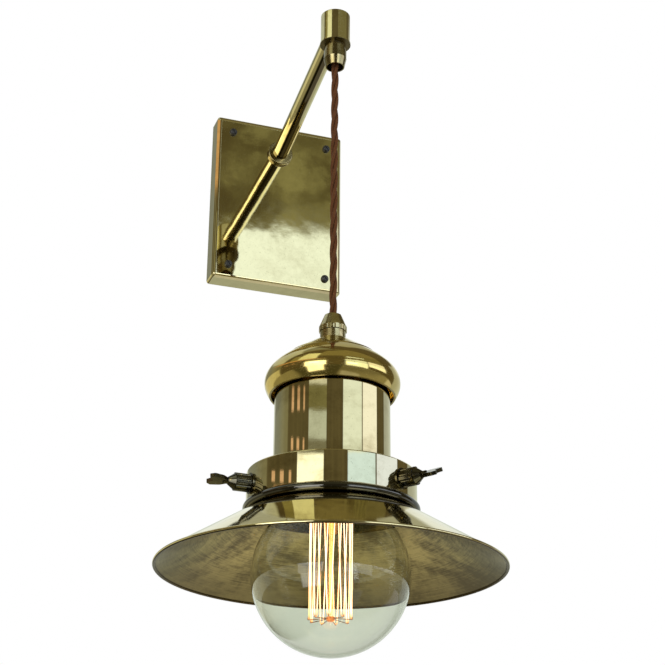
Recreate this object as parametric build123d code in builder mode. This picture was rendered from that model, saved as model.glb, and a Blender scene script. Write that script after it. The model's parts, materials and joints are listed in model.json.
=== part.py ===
from build123d import *
import math
import os

os.makedirs("parts", exist_ok=True)

# Wall plate: a shallow folded tray, open at the back, standing against the wall at y = 0.
plate_w = 128.0
plate_h = 173.0
plate_d = 18.5
plate_sheet = 1.2
plate_corner_r = 3.0
plate_edge_r = 2.2

# Four round-head slotted screws hold the plate to the wall, each set in from the plate's edges.
wall_screw_inset_x = 16.0
wall_screw_inset_z = 15.0
wall_screw_r = 2.0
wall_screw_shank_r = 1.8
wall_screw_shank = 6.0
wall_screw_depth = 20.0
wall_screw_point = 1.2
wall_screw_head_r = 3.7
wall_screw_head_h = 2.6
wall_screw_head_edge = 0.5
wall_screw_slot_w = 0.9
wall_screw_slot_d = 0.9
wall_screw_slot_turn = 35.0
wall_screw_play = 0.3
wall_screw_dx = plate_w - 2 * wall_screw_inset_x
wall_screw_dz = plate_h - 2 * wall_screw_inset_z

# Arm: a straight tube that rises from a round flange on the plate to the upright end block.
reach = 182.0
arm_drop = 30.0
arm_root_z = plate_h / 2 - arm_drop
arm_r = 8.0
arm_wall = 1.4
arm_lead = 10.0
arm_cut = 30.0
flange_r = 12.4
flange_t = 3.0
flange_edge_r = 1.0
stub_r = 5.0
stub_bore_r = 3.8
stub_len = 9.0
thread_play = 0.05
arm_nut_af = 15.0
arm_nut_t = 3.5
arm_washer_r = 9.0
arm_washer_t = 1.2

# Heights on the lamp's upright axis are measured up from the plane of the shade's rim.
rim_z = -399.0

# End block at the top of the axis, with a thin lip round its lower edge.
block_r = 13.1
block_wall = 2.0
block_low = 479.0
block_len = 30.5
block_high = block_low + block_len
block_lip_r = 13.7
block_lip_t = 1.6
block_hole_ledge = 0.8
block_hole_stop = 6.0
lid_t = 2.5
lid_plug = 2.0
lid_edge_r = 0.6

# Cord grips, each a body, a split insert that closes on the cord, and a tapered nut.
cord_r = 3.3
core_r = 1.1
core_pitch = 2.4
grip_bore_r = 3.7
grip_thread = 5.0
insert_play = 0.1
turn_play = 0.1
gap = 0.3
up_body_r = 9.5
up_body_low = block_low - 7.0
up_spigot_r = 7.2
up_spigot_low = up_body_low - 6.0
up_seat = block_low - 4.0
up_insert_r = 5.3
up_insert_low = up_spigot_low + 1.0
up_nut_r = 10.1
up_nut_step = up_body_low - 8.0
up_nut_len = 16.0
up_mouth = up_body_low - up_nut_len
up_mouth_r = 8.3
up_mouth_bore_r = 7.4
bend_r = 2.6

# Gallery: a flat-topped ring with a heavy bead round its lower edge and three thumbscrews.
neck_r = 46.8
neck_wall = 1.1
neck_len = 73.8
gallery_r = 67.4
gallery_sheet = 1.2
gallery_low = 47.2
gallery_high = 29.0
gallery_top = gallery_low + gallery_high
gallery_ledge = 2.8
gallery_hole_r = neck_r - gallery_ledge
gallery_edge_r = 1.0
bead_r = 3.1
bead_play = 0.31
bead_ring_r = gallery_r - gallery_sheet / 2
screw_rise = 13.8
screw_h = gallery_low + screw_rise
screw_angles = (183.2, -56.8, 63.2)
screw_rolls = (10.0, 29.0, 20.0)
screw_r = 2.0
boss_r = 7.2
boss_flange_r = 8.4
boss_flange_out = gallery_r + 1.2
boss_len = 13.6
boss_out = gallery_r + boss_len
boss_root = gallery_r - 4.0
boss_flutes = 10
flute_r = 1.3
flute_out = 0.6
cone_r = 6.4
cone_end_r = 3.2
cone_len = 4.8
wing_t = 3.0
wing_half = 7.2
wing_len = 21.5
wing_out = boss_out + wing_len
wing_edge_r = 1.0

# Dome: a spun cap with a straight sloping crown above a full rounded bulge.
neck_high = gallery_top + neck_len
lip_r = neck_r + 4.4
lip = neck_high - 8.0
bulge_r = lip_r + 4.0
bulge_foot = 11.0
bulge_mid = lip + bulge_foot
bulge_rise = 23.4
bulge_top = bulge_mid + bulge_rise
bulge_top_r = 36.4
crown_step = 1.0
crown_r = bulge_top_r - 0.6
crown_high = 14.6
crown_flat_r = 12.2
dome_top = bulge_top + crown_step + crown_high
dome_sheet = 1.2

# Lower grip on the dome's top.
low_ring_r = 11.0
low_ring_t = 1.2
low_body_r = 10.6
low_body_high = dome_top + 7.2
low_spigot_r = 8.3
low_spigot_high = low_body_high + 6.8
low_seat = low_body_high + 0.3
low_insert_r = 5.3
low_insert_high = low_spigot_high + 1.0
low_nut_r = 11.55
low_nut_step = low_body_high + 4.3
low_nut_high = low_insert_high + 7.2
low_nut_top_r = 7.0
low_nut_mouth_r = 5.0
low_nut_edge_r = 0.6
low_nut_flutes = 14
low_nut_flute_r = 1.4
low_nut_flute_out = 0.75

# Inner strap and threaded tube that carry the neck and the lamp holder below the dome.
tube_r = 5.0
tube_bore_r = 3.7
tube_high = low_body_high - 2.2
nut_af = 14.0
nut_t = 4.0
strap_w = 16.0
strap_t = 1.5
strap_h = lip - 1.0
strap_tab = 10.0
strap_play = 0.05

# Shade: a straight cone on a short lipped neck inside the gallery, with a wired rim.
shade_r = 137.5
shade_sheet = 0.9
shade_play = 3.7
shade_neck_r = gallery_r - gallery_sheet - shade_play
shade_neck_high = screw_h + 5.0
shade_lip_r = shade_neck_r + 2.3
shade_lip_t = 1.2
shade_slope = 0.611
bead_drop = (bead_r + bead_play) * math.sqrt(1 + shade_slope**2)
rim_wire_r = 1.3
screw_tip_play = 0.05

# Lamp holder for a standard 27 mm screw lamp, hung on the tube under the strap.
holder_r = 20.5
holder_wall = 1.8
holder_play = 1.0
holder_high = strap_h - nut_t - holder_play
holder_hub_r = 8.0
holder_hub_len = 5.0
holder_shoulder_r = 14.0
holder_shoulder = holder_high - 7.5
holder_side = holder_high - 13.0
holder_joint = holder_high - 20.0
holder_skirt_len = 36.0
holder_low = holder_joint - holder_skirt_len
holder_edge_r = 0.6
core_low = holder_joint - 7.4
core_top_r = 12.0
shell_r = 13.7
shell_wall = 0.6
shell_flange = 3.0
shell_len = 24.6
shell_low = core_low - shell_len
contact_r = 5.0
contact_t = 1.2
tube_low = holder_shoulder + 0.5
tail_rise = 11.4
tail_low = core_low + tail_rise

# Globe lamp, 125 mm across, with a cage of fine wire.
lamp_tip = core_low - contact_t - gap
lamp_tip_t = 1.0
lamp_tip_r = 4.8
lamp_tip_end_r = 4.0
lamp_cap_r = 13.3
lamp_cap_wall = 0.5
lamp_cap_high = lamp_tip - 4.6
lamp_cap_len = 22.0
lamp_cap_low = lamp_cap_high - lamp_cap_len
lamp_cap_shoulder = 2.5
lamp_cap_top_r = 11.0
globe_r = 62.2
globe_drop = 85.3
globe_h = lamp_cap_low - globe_drop
globe_wall = 1.0
globe_neck_r = 16.0
globe_blend_r = 18.0
globe_taper = 6.0
seal_play = 0.1
cage_r = 16.6
cage_above = 51.0
cage_below = 33.8
cage_high = globe_h + cage_above
cage_low = globe_h - cage_below
cage_strands = 18
cage_wire_r = 0.4
cage_bend_w = 2.2
cage_bend_r = 0.9
pinch_r = 4.5
pinch_rise = 13.0
pinch_len = 13.0
pinch_low = cage_high + pinch_rise
pinch_high = pinch_low + pinch_len
flare_r = 7.0
rod_r = 1.6
rod_high = pinch_low - 4.0
button_r = 3.2
button_t = 2.5
button_high = cage_low + 2.0
lead_r = 2.4
support_r = 0.3
support_play = 0.2
support_sink = 0.3
hook_out = cage_wire_r + support_r + support_play
hook_bend_r = 0.5

# Frames used by the pieces below.
lamp_plane = Plane(origin=(0, -reach, rim_z), x_dir=(1, 0, 0), z_dir=(0, -1, 0))
lamp_axis = Axis((0, -reach, 0), (0, 0, 1))
block_mid_z = rim_z + (block_low + block_high) / 2
arm_run = reach - plate_d
arm_tilt = math.atan2(block_mid_z - arm_root_z, arm_run)
arm_dir = (0, -math.cos(arm_tilt), math.sin(arm_tilt))
arm_plane = Plane(origin=(0, -plate_d, arm_root_z), x_dir=(1, 0, 0), z_dir=arm_dir)
arm_len = arm_run / math.cos(arm_tilt)
plate_front = Plane(origin=(0, -plate_d, 0), x_dir=(1, 0, 0), z_dir=(0, -1, 0))


def level(height):
    return Plane(origin=(0, -reach, rim_z + height))


def radial(angle):
    turn = math.radians(angle)
    out = (math.cos(turn), math.sin(turn), 0)
    along = (-math.sin(turn), math.cos(turn), 0)
    return Plane(origin=(0, -reach, rim_z + screw_h), x_dir=along, z_dir=out)


def cage_point(turn, radius, height):
    return (radius * math.cos(turn), -reach + radius * math.sin(turn), rim_z + height)


def wing_side(angle, roll):
    base = radial(angle)
    tilt = math.radians(roll)
    across = base.x_dir * math.cos(tilt) + base.y_dir * math.sin(tilt)
    return Plane(origin=base.origin, x_dir=base.z_dir, z_dir=base.z_dir.cross(across))


def cone_h(radius):
    return gallery_low - bead_drop - shade_slope * (radius - bead_ring_r)


def turned(*points, mode=Mode.ADD):
    with BuildSketch(lamp_plane) as profile:
        with BuildLine():
            Polyline(*points, close=True)
        make_face()
    revolve(profile.sketch, axis=lamp_axis, mode=mode)


# Folded plate with a hole for the arm's stub and four screw holes.
with BuildPart() as back_plate:
    with BuildSketch(Plane.XZ):
        RectangleRounded(plate_w, plate_h, plate_corner_r)
    extrude(amount=plate_d)
    fillet(back_plate.faces().sort_by(Axis.Y)[0].edges(), plate_edge_r)
    with BuildSketch(Plane.XZ):
        RectangleRounded(plate_w - 2 * plate_sheet, plate_h - 2 * plate_sheet, plate_corner_r - plate_sheet)
    extrude(amount=plate_d - plate_sheet, mode=Mode.SUBTRACT)
    with BuildSketch(plate_front):
        with Locations((0, arm_root_z)):
            Circle(stub_r + thread_play)
        with GridLocations(wall_screw_dx, wall_screw_dz, 2, 2):
            Circle(wall_screw_r + wall_screw_play)
    extrude(amount=-plate_sheet, mode=Mode.SUBTRACT)
back_plate.part.label = "back_plate"
export_step(back_plate.part, "parts/back_plate.step")

# Wall screws: slotted domed heads, plain shanks through the plate, threaded ends for the wall.
with BuildPart() as wall_screws:
    with BuildSketch(plate_front):
        with GridLocations(wall_screw_dx, wall_screw_dz, 2, 2):
            Circle(wall_screw_shank_r)
    extrude(amount=-wall_screw_shank)
    with BuildSketch(plate_front.offset(-wall_screw_shank)):
        with GridLocations(wall_screw_dx, wall_screw_dz, 2, 2):
            Circle(wall_screw_r)
    extrude(amount=wall_screw_shank - plate_d - wall_screw_depth)
    screw_ends = wall_screws.faces().filter_by(Plane.XZ).sort_by(Axis.Y)[-4:]
    chamfer(screw_ends.edges(), wall_screw_point)
    with BuildSketch(plate_front):
        with GridLocations(wall_screw_dx, wall_screw_dz, 2, 2):
            Circle(wall_screw_head_r)
    extrude(amount=wall_screw_head_h)
    head_faces = wall_screws.faces().filter_by(Plane.XZ).sort_by(Axis.Y)[0:4]
    fillet(head_faces.edges(), wall_screw_head_h - wall_screw_head_edge)
    with BuildSketch(plate_front.offset(wall_screw_head_h)):
        with GridLocations(wall_screw_dx, wall_screw_dz, 2, 2):
            Rectangle(wall_screw_slot_w, 2.4 * wall_screw_head_r, rotation=wall_screw_slot_turn)
    extrude(amount=-wall_screw_slot_d, mode=Mode.SUBTRACT)
wall_screws.part.label = "wall_screws"
export_step(wall_screws.part, "parts/wall_screws.step")

# Round flange with a threaded hollow stub that passes through the plate.
with BuildPart() as arm_flange:
    with BuildSketch(plate_front):
        with Locations((0, arm_root_z)):
            Circle(flange_r)
    extrude(amount=flange_t)
    fillet(arm_flange.edges().sort_by(Axis.Y)[0], flange_edge_r)
    with BuildSketch(plate_front):
        with Locations((0, arm_root_z)):
            Circle(stub_r)
    extrude(amount=-stub_len)
    with BuildSketch(plate_front.offset(flange_t)):
        with Locations((0, arm_root_z)):
            Circle(stub_bore_r)
    extrude(amount=-flange_t - stub_len, mode=Mode.SUBTRACT)
arm_flange.part.label = "arm_flange"
export_step(arm_flange.part, "parts/arm_flange.step")

# Washer and nut on the stub, inside the plate.
with BuildPart() as arm_washer:
    with BuildSketch(plate_front.offset(-plate_sheet)):
        with Locations((0, arm_root_z)):
            Circle(arm_washer_r)
            Circle(stub_r + thread_play, mode=Mode.SUBTRACT)
    extrude(amount=-arm_washer_t)
arm_washer.part.label = "arm_washer"
export_step(arm_washer.part, "parts/arm_washer.step")

with BuildPart() as arm_nut:
    with BuildSketch(plate_front.offset(-plate_sheet - arm_washer_t)):
        with Locations((0, arm_root_z)):
            RegularPolygon(arm_nut_af / 2, 6, major_radius=False)
            Circle(stub_r + thread_play, mode=Mode.SUBTRACT)
    extrude(amount=-arm_nut_t)
arm_nut.part.label = "arm_nut"
export_step(arm_nut.part, "parts/arm_nut.step")

# Arm tube, cut flat where it meets the flange and hollowed to the block's side.
with BuildPart() as arm_tube:
    with BuildSketch(arm_plane.offset(-arm_lead)):
        Circle(arm_r)
        Circle(arm_r - arm_wall, mode=Mode.SUBTRACT)
    extrude(amount=arm_len + arm_lead)
    split(bisect_by=plate_front.offset(flange_t), keep=Keep.TOP)
    turned(
        (0, block_low - arm_cut),
        (block_r, block_low - arm_cut),
        (block_r, block_high + arm_cut),
        (0, block_high + arm_cut),
        mode=Mode.SUBTRACT,
    )
arm_tube.part.label = "arm_tube"
export_step(arm_tube.part, "parts/arm_tube.step")

# End block: an upright lipped cup with a threaded hole below and a side hole for the wires.
with BuildPart() as end_block:
    turned(
        (stub_r, block_low),
        (block_lip_r, block_low),
        (block_lip_r, block_low + block_lip_t),
        (block_r, block_low + block_lip_t),
        (block_r, block_high - lid_t),
        (block_r - block_wall, block_high - lid_t),
        (block_r - block_wall, block_low + block_wall),
        (stub_r, block_low + block_wall),
    )
    with BuildSketch(arm_plane):
        Circle(arm_r - arm_wall - block_hole_ledge)
    extrude(amount=arm_len - block_hole_stop, mode=Mode.SUBTRACT)
end_block.part.label = "end_block"
export_step(end_block.part, "parts/end_block.step")

# Lid pressed into the top of the end block.
with BuildPart() as end_lid:
    turned(
        (0, block_high - lid_t - lid_plug),
        (block_r - block_wall - thread_play, block_high - lid_t - lid_plug),
        (block_r - block_wall - thread_play, block_high - lid_t),
        (block_r, block_high - lid_t),
        (block_r, block_high),
        (0, block_high),
    )
    fillet(end_lid.edges().sort_by(Axis.Z)[-1], lid_edge_r)
end_lid.part.label = "end_lid"
export_step(end_lid.part, "parts/end_lid.step")

# Upper grip body: screwed into the block, with a spigot below that holds the insert.
with BuildPart() as upper_grip_body:
    turned(
        (up_insert_r, up_spigot_low),
        (up_spigot_r, up_spigot_low),
        (up_spigot_r, up_body_low),
        (up_body_r, up_body_low),
        (up_body_r, block_low),
        (stub_r - thread_play, block_low),
        (stub_r - thread_play, block_low + grip_thread),
        (grip_bore_r, block_low + grip_thread),
        (grip_bore_r, up_seat),
        (up_insert_r, up_seat),
    )
upper_grip_body.part.label = "upper_grip_body"
export_step(upper_grip_body.part, "parts/upper_grip_body.step")

with BuildPart() as upper_grip_insert:
    turned(
        (cord_r + insert_play, up_insert_low),
        (up_insert_r - thread_play, up_insert_low),
        (up_insert_r - thread_play, up_seat),
        (cord_r + insert_play, up_seat),
    )
upper_grip_insert.part.label = "upper_grip_insert"
export_step(upper_grip_insert.part, "parts/upper_grip_insert.step")

# Upper grip nut: tapers to a wide open mouth round the cord.
with BuildPart() as upper_grip_nut:
    turned(
        (up_spigot_r + turn_play, up_body_low - gap),
        (up_nut_r, up_body_low - gap),
        (up_nut_r, up_nut_step),
        (up_mouth_r, up_mouth),
        (up_mouth_bore_r, up_mouth),
        (up_spigot_r - gap, up_spigot_low - 2),
        (up_spigot_r + turn_play, up_spigot_low - 1),
    )
upper_grip_nut.part.label = "upper_grip_nut"
export_step(upper_grip_nut.part, "parts/upper_grip_nut.step")

# Cord end held in the upper grip, up to where its cores part inside the block.
feed_high = block_low + grip_thread + 2
with BuildPart() as flex_feed:
    with BuildSketch(level(up_insert_low)):
        Circle(cord_r)
    extrude(amount=feed_high - up_insert_low)
flex_feed.part.label = "flex_feed"
export_step(flex_feed.part, "parts/flex_feed.step")

# Three cores run from the cord through the arm to the connector in the plate.
core_y = -4.6
connector_high = 24.0
with BuildPart() as supply_cores:
    for side in (-core_pitch, 0, core_pitch):
        with BuildLine() as core_route:
            FilletPolyline(
                (side, -reach, rim_z + feed_high),
                (side, -reach, block_mid_z),
                (side, -plate_d - flange_t - 8, arm_root_z),
                (side, core_y, arm_root_z),
                (side, core_y, connector_high),
                radius=3.0,
            )
        with BuildSketch(Plane(origin=(side, -reach, rim_z + feed_high))):
            Circle(core_r)
        sweep(path=core_route.line)
supply_cores.part.label = "supply_cores"
export_step(supply_cores.part, "parts/supply_cores.step")

# Connector strip on the inside of the plate, with a clamp screw at each wire end.
connector_w = 28.0
connector_h = 18.0
connector_y = -plate_d + plate_sheet
connector_d = 13.0
with BuildPart() as connector:
    with BuildSketch(Plane(origin=(0, connector_y, connector_high - connector_h / 2),
                           x_dir=(1, 0, 0), z_dir=(0, 1, 0))):
        RectangleRounded(connector_w, connector_h, 1.5)
    extrude(amount=connector_d)
    with BuildSketch(Plane(origin=(0, connector_y + connector_d, connector_high - connector_h / 2),
                           x_dir=(1, 0, 0), z_dir=(0, 1, 0))):
        with GridLocations(9.0, 10.0, 3, 2):
            Circle(2.0)
    extrude(amount=-3.0, mode=Mode.SUBTRACT)
connector.part.label = "connector"
export_step(connector.part, "parts/connector.step")

with BuildPart() as connector_screws:
    with BuildSketch(Plane(origin=(0, connector_y + connector_d - 3, connector_high - connector_h / 2),
                           x_dir=(1, 0, 0), z_dir=(0, 1, 0))):
        with GridLocations(9.0, 10.0, 3, 2):
            Circle(1.8)
    extrude(amount=2.0)
connector_screws.part.label = "connector_screws"
export_step(connector_screws.part, "parts/connector_screws.step")

# The cord's short bend just below the insert, where it gives way sideways.
bend_h = up_insert_low - gap - bend_r
with BuildPart() as flex_bend:
    with Locations((0, -reach, rim_z + bend_h)):
        Sphere(bend_r)
flex_bend.part.label = "flex_bend"
export_step(flex_bend.part, "parts/flex_bend.step")

# Hanging cord, a straight run between the grips with a rounded upper end.
flex_high = bend_h - bend_r - gap - cord_r
flex_low = low_seat + 0.7
with BuildPart() as flex:
    with BuildSketch(level(flex_low)):
        Circle(cord_r)
    extrude(amount=flex_high - flex_low)
    with Locations((0, -reach, rim_z + flex_high)):
        Sphere(cord_r)
flex.part.label = "flex"
export_step(flex.part, "parts/flex.step")

# Lower grip: insert, fluted tapered nut and a body with a raised ring at its foot.
with BuildPart() as lower_grip_insert:
    turned(
        (cord_r + gap, low_seat + gap),
        (low_insert_r, low_seat + gap),
        (low_insert_r, low_insert_high),
        (cord_r + gap, low_insert_high),
    )
lower_grip_insert.part.label = "lower_grip_insert"
export_step(lower_grip_insert.part, "parts/lower_grip_insert.step")

with BuildPart() as lower_grip_nut:
    turned(
        (low_spigot_r + turn_play, low_body_high + gap),
        (low_nut_r, low_body_high + gap),
        (low_nut_r, low_nut_step),
        (low_nut_top_r, low_nut_high),
        (low_nut_mouth_r, low_nut_high),
        (low_nut_mouth_r, low_insert_high + 2.5),
        (low_spigot_r + turn_play, low_spigot_high + gap),
    )
    fillet(lower_grip_nut.edges().filter_by(GeomType.CIRCLE).sort_by(Axis.Z)[-1], low_nut_edge_r)
    with BuildSketch(level(low_body_high)):
        with PolarLocations(low_nut_r + low_nut_flute_out, low_nut_flutes):
            Circle(low_nut_flute_r)
    extrude(amount=low_nut_step - low_body_high, mode=Mode.SUBTRACT)
lower_grip_nut.part.label = "lower_grip_nut"
export_step(lower_grip_nut.part, "parts/lower_grip_nut.step")

with BuildPart() as lower_grip_body:
    turned(
        (tube_r + thread_play, dome_top),
        (low_ring_r, dome_top),
        (low_ring_r, dome_top + low_ring_t),
        (low_body_r, dome_top + low_ring_t),
        (low_body_r, low_body_high),
        (low_spigot_r, low_body_high),
        (low_spigot_r, low_spigot_high),
        (low_insert_r + gap, low_spigot_high),
        (low_insert_r + gap, low_seat),
        (grip_bore_r, low_seat),
        (grip_bore_r, tube_high),
        (tube_r + thread_play, tube_high),
    )
lower_grip_body.part.label = "lower_grip_body"
export_step(lower_grip_body.part, "parts/lower_grip_body.step")

# Cord end inside the lamp, from the lower grip to the holder.
with BuildPart() as flex_tail:
    with BuildSketch(level(tail_low)):
        Circle(cord_r)
    extrude(amount=flex_low - gap - tail_low)
flex_tail.part.label = "flex_tail"
export_step(flex_tail.part, "parts/flex_tail.step")

# Dome: the full form turned first, then hollowed to the thickness of the sheet.
with BuildPart() as dome:
    with BuildSketch(lamp_plane):
        with BuildLine():
            seat = Line((0, dome_top), (crown_flat_r, dome_top))
            crown = Line(seat @ 1, (crown_r, bulge_top + crown_step))
            step = Line(crown @ 1, (bulge_top_r, bulge_top))
            bulge = Spline(
                step @ 1,
                (bulge_r, bulge_mid),
                (lip_r, lip),
                tangents=((1, -0.7), (0, -1), (-0.62, -1)),
            )
            Polyline(bulge @ 1, (0, lip), seat @ 0)
        make_face()
    revolve(axis=lamp_axis)
    offset(amount=-dome_sheet, openings=dome.faces().sort_by(Axis.Z)[0])
    with BuildSketch(level(dome_top)):
        Circle(tube_r + thread_play)
    extrude(amount=-2 * dome_sheet, mode=Mode.SUBTRACT)
dome.part.label = "dome"
export_step(dome.part, "parts/dome.step")

# Threaded tube down the middle, with the nut that draws the dome against the lower grip.
with BuildPart() as threaded_tube:
    turned(
        (tube_bore_r, tube_low),
        (tube_r, tube_low),
        (tube_r, tube_high),
        (tube_bore_r, tube_high),
    )
threaded_tube.part.label = "threaded_tube"
export_step(threaded_tube.part, "parts/threaded_tube.step")

with BuildPart() as dome_nut:
    with BuildSketch(level(dome_top - dome_sheet - nut_t)):
        RegularPolygon(nut_af / 2, 6, major_radius=False)
        Circle(tube_r + thread_play, mode=Mode.SUBTRACT)
    extrude(amount=nut_t)
dome_nut.part.label = "dome_nut"
export_step(dome_nut.part, "parts/dome_nut.step")

# Strap across the neck with turned-down ends, locked on the tube by a nut on either side.
with BuildPart() as strap:
    with BuildSketch(level(strap_h - strap_tab)):
        Rectangle(2 * neck_r, strap_w)
    extrude(amount=strap_tab + strap_t)
    with BuildSketch(level(strap_h - strap_tab)):
        Circle(neck_r - neck_wall - strap_play)
    extrude(amount=strap_tab + strap_t, mode=Mode.INTERSECT)
    with BuildSketch(level(strap_h - strap_tab)):
        Circle(neck_r - neck_wall - strap_play - strap_t)
    extrude(amount=strap_tab, mode=Mode.SUBTRACT)
    with BuildSketch(level(strap_h)):
        Circle(tube_r + thread_play)
    extrude(amount=strap_t, mode=Mode.SUBTRACT)
strap.part.label = "strap"
export_step(strap.part, "parts/strap.step")

with BuildPart() as strap_nuts:
    for nut_h in (strap_h - nut_t, strap_h + strap_t):
        with BuildSketch(level(nut_h)):
            RegularPolygon(nut_af / 2, 6, major_radius=False)
            Circle(tube_r + thread_play, mode=Mode.SUBTRACT)
        extrude(amount=nut_t)
strap_nuts.part.label = "strap_nuts"
export_step(strap_nuts.part, "parts/strap_nuts.step")

# Neck sleeve standing on the gallery.
with BuildPart() as neck_sleeve:
    turned(
        (neck_r - neck_wall, gallery_top),
        (neck_r, gallery_top),
        (neck_r, neck_high),
        (neck_r - neck_wall, neck_high),
    )
neck_sleeve.part.label = "neck_sleeve"
export_step(neck_sleeve.part, "parts/neck_sleeve.step")

# Gallery ring with its three screw holes.
with BuildPart() as gallery:
    turned(
        (gallery_hole_r, gallery_top - gallery_sheet),
        (gallery_r - gallery_sheet, gallery_top - gallery_sheet),
        (gallery_r - gallery_sheet, gallery_low),
        (gallery_r, gallery_low),
        (gallery_r, gallery_top),
        (gallery_hole_r, gallery_top),
    )
    top_edges = gallery.edges().filter_by(GeomType.CIRCLE).group_by(Axis.Z)[-1]
    fillet(top_edges.sort_by(SortBy.RADIUS)[-1], gallery_edge_r)
    for angle in screw_angles:
        with BuildSketch(radial(angle).offset(gallery_hole_r)):
            Circle(screw_r + gap)
        extrude(amount=gallery_r - gallery_hole_r + 1, mode=Mode.SUBTRACT)
gallery.part.label = "gallery"
export_step(gallery.part, "parts/gallery.step")

# Round bead let over the gallery's lower edge.
with BuildPart() as gallery_bead:
    with BuildSketch(lamp_plane):
        with Locations((bead_ring_r, gallery_low)):
            Circle(bead_r)
        with Locations((bead_ring_r, gallery_low + bead_r)):
            Rectangle(gallery_sheet, 2 * bead_r, mode=Mode.SUBTRACT)
    revolve(axis=lamp_axis)
gallery_bead.part.label = "gallery_bead"
export_step(gallery_bead.part, "parts/gallery_bead.step")

# Fluted bosses that carry the thumbscrews.
with BuildPart() as screw_bosses:
    for angle in screw_angles:
        with BuildSketch(radial(angle).offset(boss_root)):
            Circle(boss_flange_r)
        extrude(amount=boss_flange_out - boss_root)
        with BuildSketch(radial(angle).offset(boss_root)):
            Circle(boss_r)
            with PolarLocations(boss_r + flute_out, boss_flutes):
                Circle(flute_r, mode=Mode.SUBTRACT)
        extrude(amount=boss_out - boss_root)
        with BuildSketch(radial(angle).offset(boss_root)):
            Circle(screw_r + thread_play)
        extrude(amount=boss_out - boss_root, mode=Mode.SUBTRACT)
    turned(
        (0, gallery_low),
        (gallery_r, gallery_low),
        (gallery_r, gallery_top),
        (0, gallery_top),
        mode=Mode.SUBTRACT,
    )
screw_bosses.part.label = "screw_bosses"
export_step(screw_bosses.part, "parts/screw_bosses.step")

# Thumbscrews: a shank that bears on the shade's neck, a cone, and a two-eared wing.
screw_tip = shade_neck_r + screw_tip_play
cone_start = boss_out + gap
wing_start = cone_start + cone_len
for number, (angle, roll) in enumerate(zip(screw_angles, screw_rolls), start=1):
    with BuildPart() as thumbscrew:
        with BuildSketch(radial(angle).offset(screw_tip)):
            Circle(screw_r)
        extrude(amount=cone_start - screw_tip)
        with BuildSketch(radial(angle).offset(cone_start)):
            Circle(cone_r)
        with BuildSketch(radial(angle).offset(wing_start)):
            Circle(cone_end_r)
        loft()
        with BuildSketch(radial(angle).offset(wing_start)):
            Circle(cone_end_r - 0.6)
        extrude(amount=4)
        with BuildSketch(wing_side(angle, roll).offset(-wing_t / 2)) as wing:
            with BuildLine():
                Polyline(
                    (wing_start + 0.5, cone_end_r - 0.8),
                    (wing_start + 5, wing_half - 1.6),
                    (wing_out - 4, wing_half),
                    (wing_out, wing_half - 2.4),
                    (wing_start + 12, 0),
                    (wing_out, 2.4 - wing_half),
                    (wing_out - 4, -wing_half),
                    (wing_start + 5, 1.6 - wing_half),
                    (wing_start + 0.5, 0.8 - cone_end_r),
                    close=True,
                )
            make_face()
            fillet(wing.vertices(), wing_edge_r)
        extrude(amount=wing_t)
    thumbscrew.part.label = f"thumbscrew_{number}"
    export_step(thumbscrew.part, f"parts/thumbscrew_{number}.step")

# Shade: lipped neck, straight cone and wired rim.
sheet_drop = shade_sheet * math.sqrt(1 + shade_slope**2)
cone_out = shade_r - rim_wire_r
shade_in_r = shade_neck_r - shade_sheet
with BuildPart() as shade:
    turned(
        (cone_out, cone_h(cone_out)),
        (shade_neck_r, cone_h(shade_neck_r)),
        (shade_neck_r, shade_neck_high - shade_lip_t),
        (shade_lip_r, shade_neck_high - shade_lip_t),
        (shade_lip_r, shade_neck_high),
        (shade_in_r, shade_neck_high),
        (shade_in_r, cone_h(shade_in_r) - sheet_drop),
        (cone_out, cone_h(cone_out) - sheet_drop),
    )
    with BuildSketch(lamp_plane):
        with Locations((cone_out, cone_h(cone_out) - sheet_drop / 2)):
            Circle(rim_wire_r)
    revolve(axis=lamp_axis)
shade.part.label = "shade"
export_step(shade.part, "parts/shade.step")

# Lamp holder: threaded cap, skirt, insulating core, screw shell and centre contact.
with BuildPart() as holder_cap:
    turned(
        (tube_r + thread_play, holder_high),
        (holder_hub_r, holder_high),
        (holder_hub_r, holder_high - holder_hub_len),
        (holder_shoulder_r, holder_shoulder),
        (holder_r, holder_side),
        (holder_r, holder_joint),
        (holder_r - holder_wall, holder_joint),
        (holder_r - holder_wall, holder_side - 1),
        (holder_shoulder_r - 1, holder_shoulder - 2),
        (tube_r + thread_play, holder_shoulder),
    )
holder_cap.part.label = "holder_cap"
export_step(holder_cap.part, "parts/holder_cap.step")

with BuildPart() as holder_skirt:
    turned(
        (holder_r - holder_wall, holder_low),
        (holder_r, holder_low),
        (holder_r, holder_joint),
        (holder_r - holder_wall, holder_joint),
    )
    fillet(holder_skirt.edges().filter_by(GeomType.CIRCLE).group_by(Axis.Z)[0], holder_edge_r)
holder_skirt.part.label = "holder_skirt"
export_step(holder_skirt.part, "parts/holder_skirt.step")

with BuildPart() as holder_core:
    turned(
        (0, core_low),
        (holder_r - holder_wall - thread_play, core_low),
        (holder_r - holder_wall - thread_play, holder_joint),
        (core_top_r, holder_joint),
        (core_top_r, tail_low),
        (0, tail_low),
    )
holder_core.part.label = "holder_core"
export_step(holder_core.part, "parts/holder_core.step")

with BuildPart() as holder_shell:
    turned(
        (shell_r, shell_low),
        (shell_r + shell_wall, shell_low),
        (shell_r + shell_wall, core_low - shell_wall),
        (shell_r + shell_flange, core_low - shell_wall),
        (shell_r + shell_flange, core_low),
        (shell_r, core_low),
    )
holder_shell.part.label = "holder_shell"
export_step(holder_shell.part, "parts/holder_shell.step")

with BuildPart() as holder_contact:
    with BuildSketch(level(core_low - contact_t)):
        Circle(contact_r)
    extrude(amount=contact_t)
holder_contact.part.label = "holder_contact"
export_step(holder_contact.part, "parts/holder_contact.step")

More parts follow.
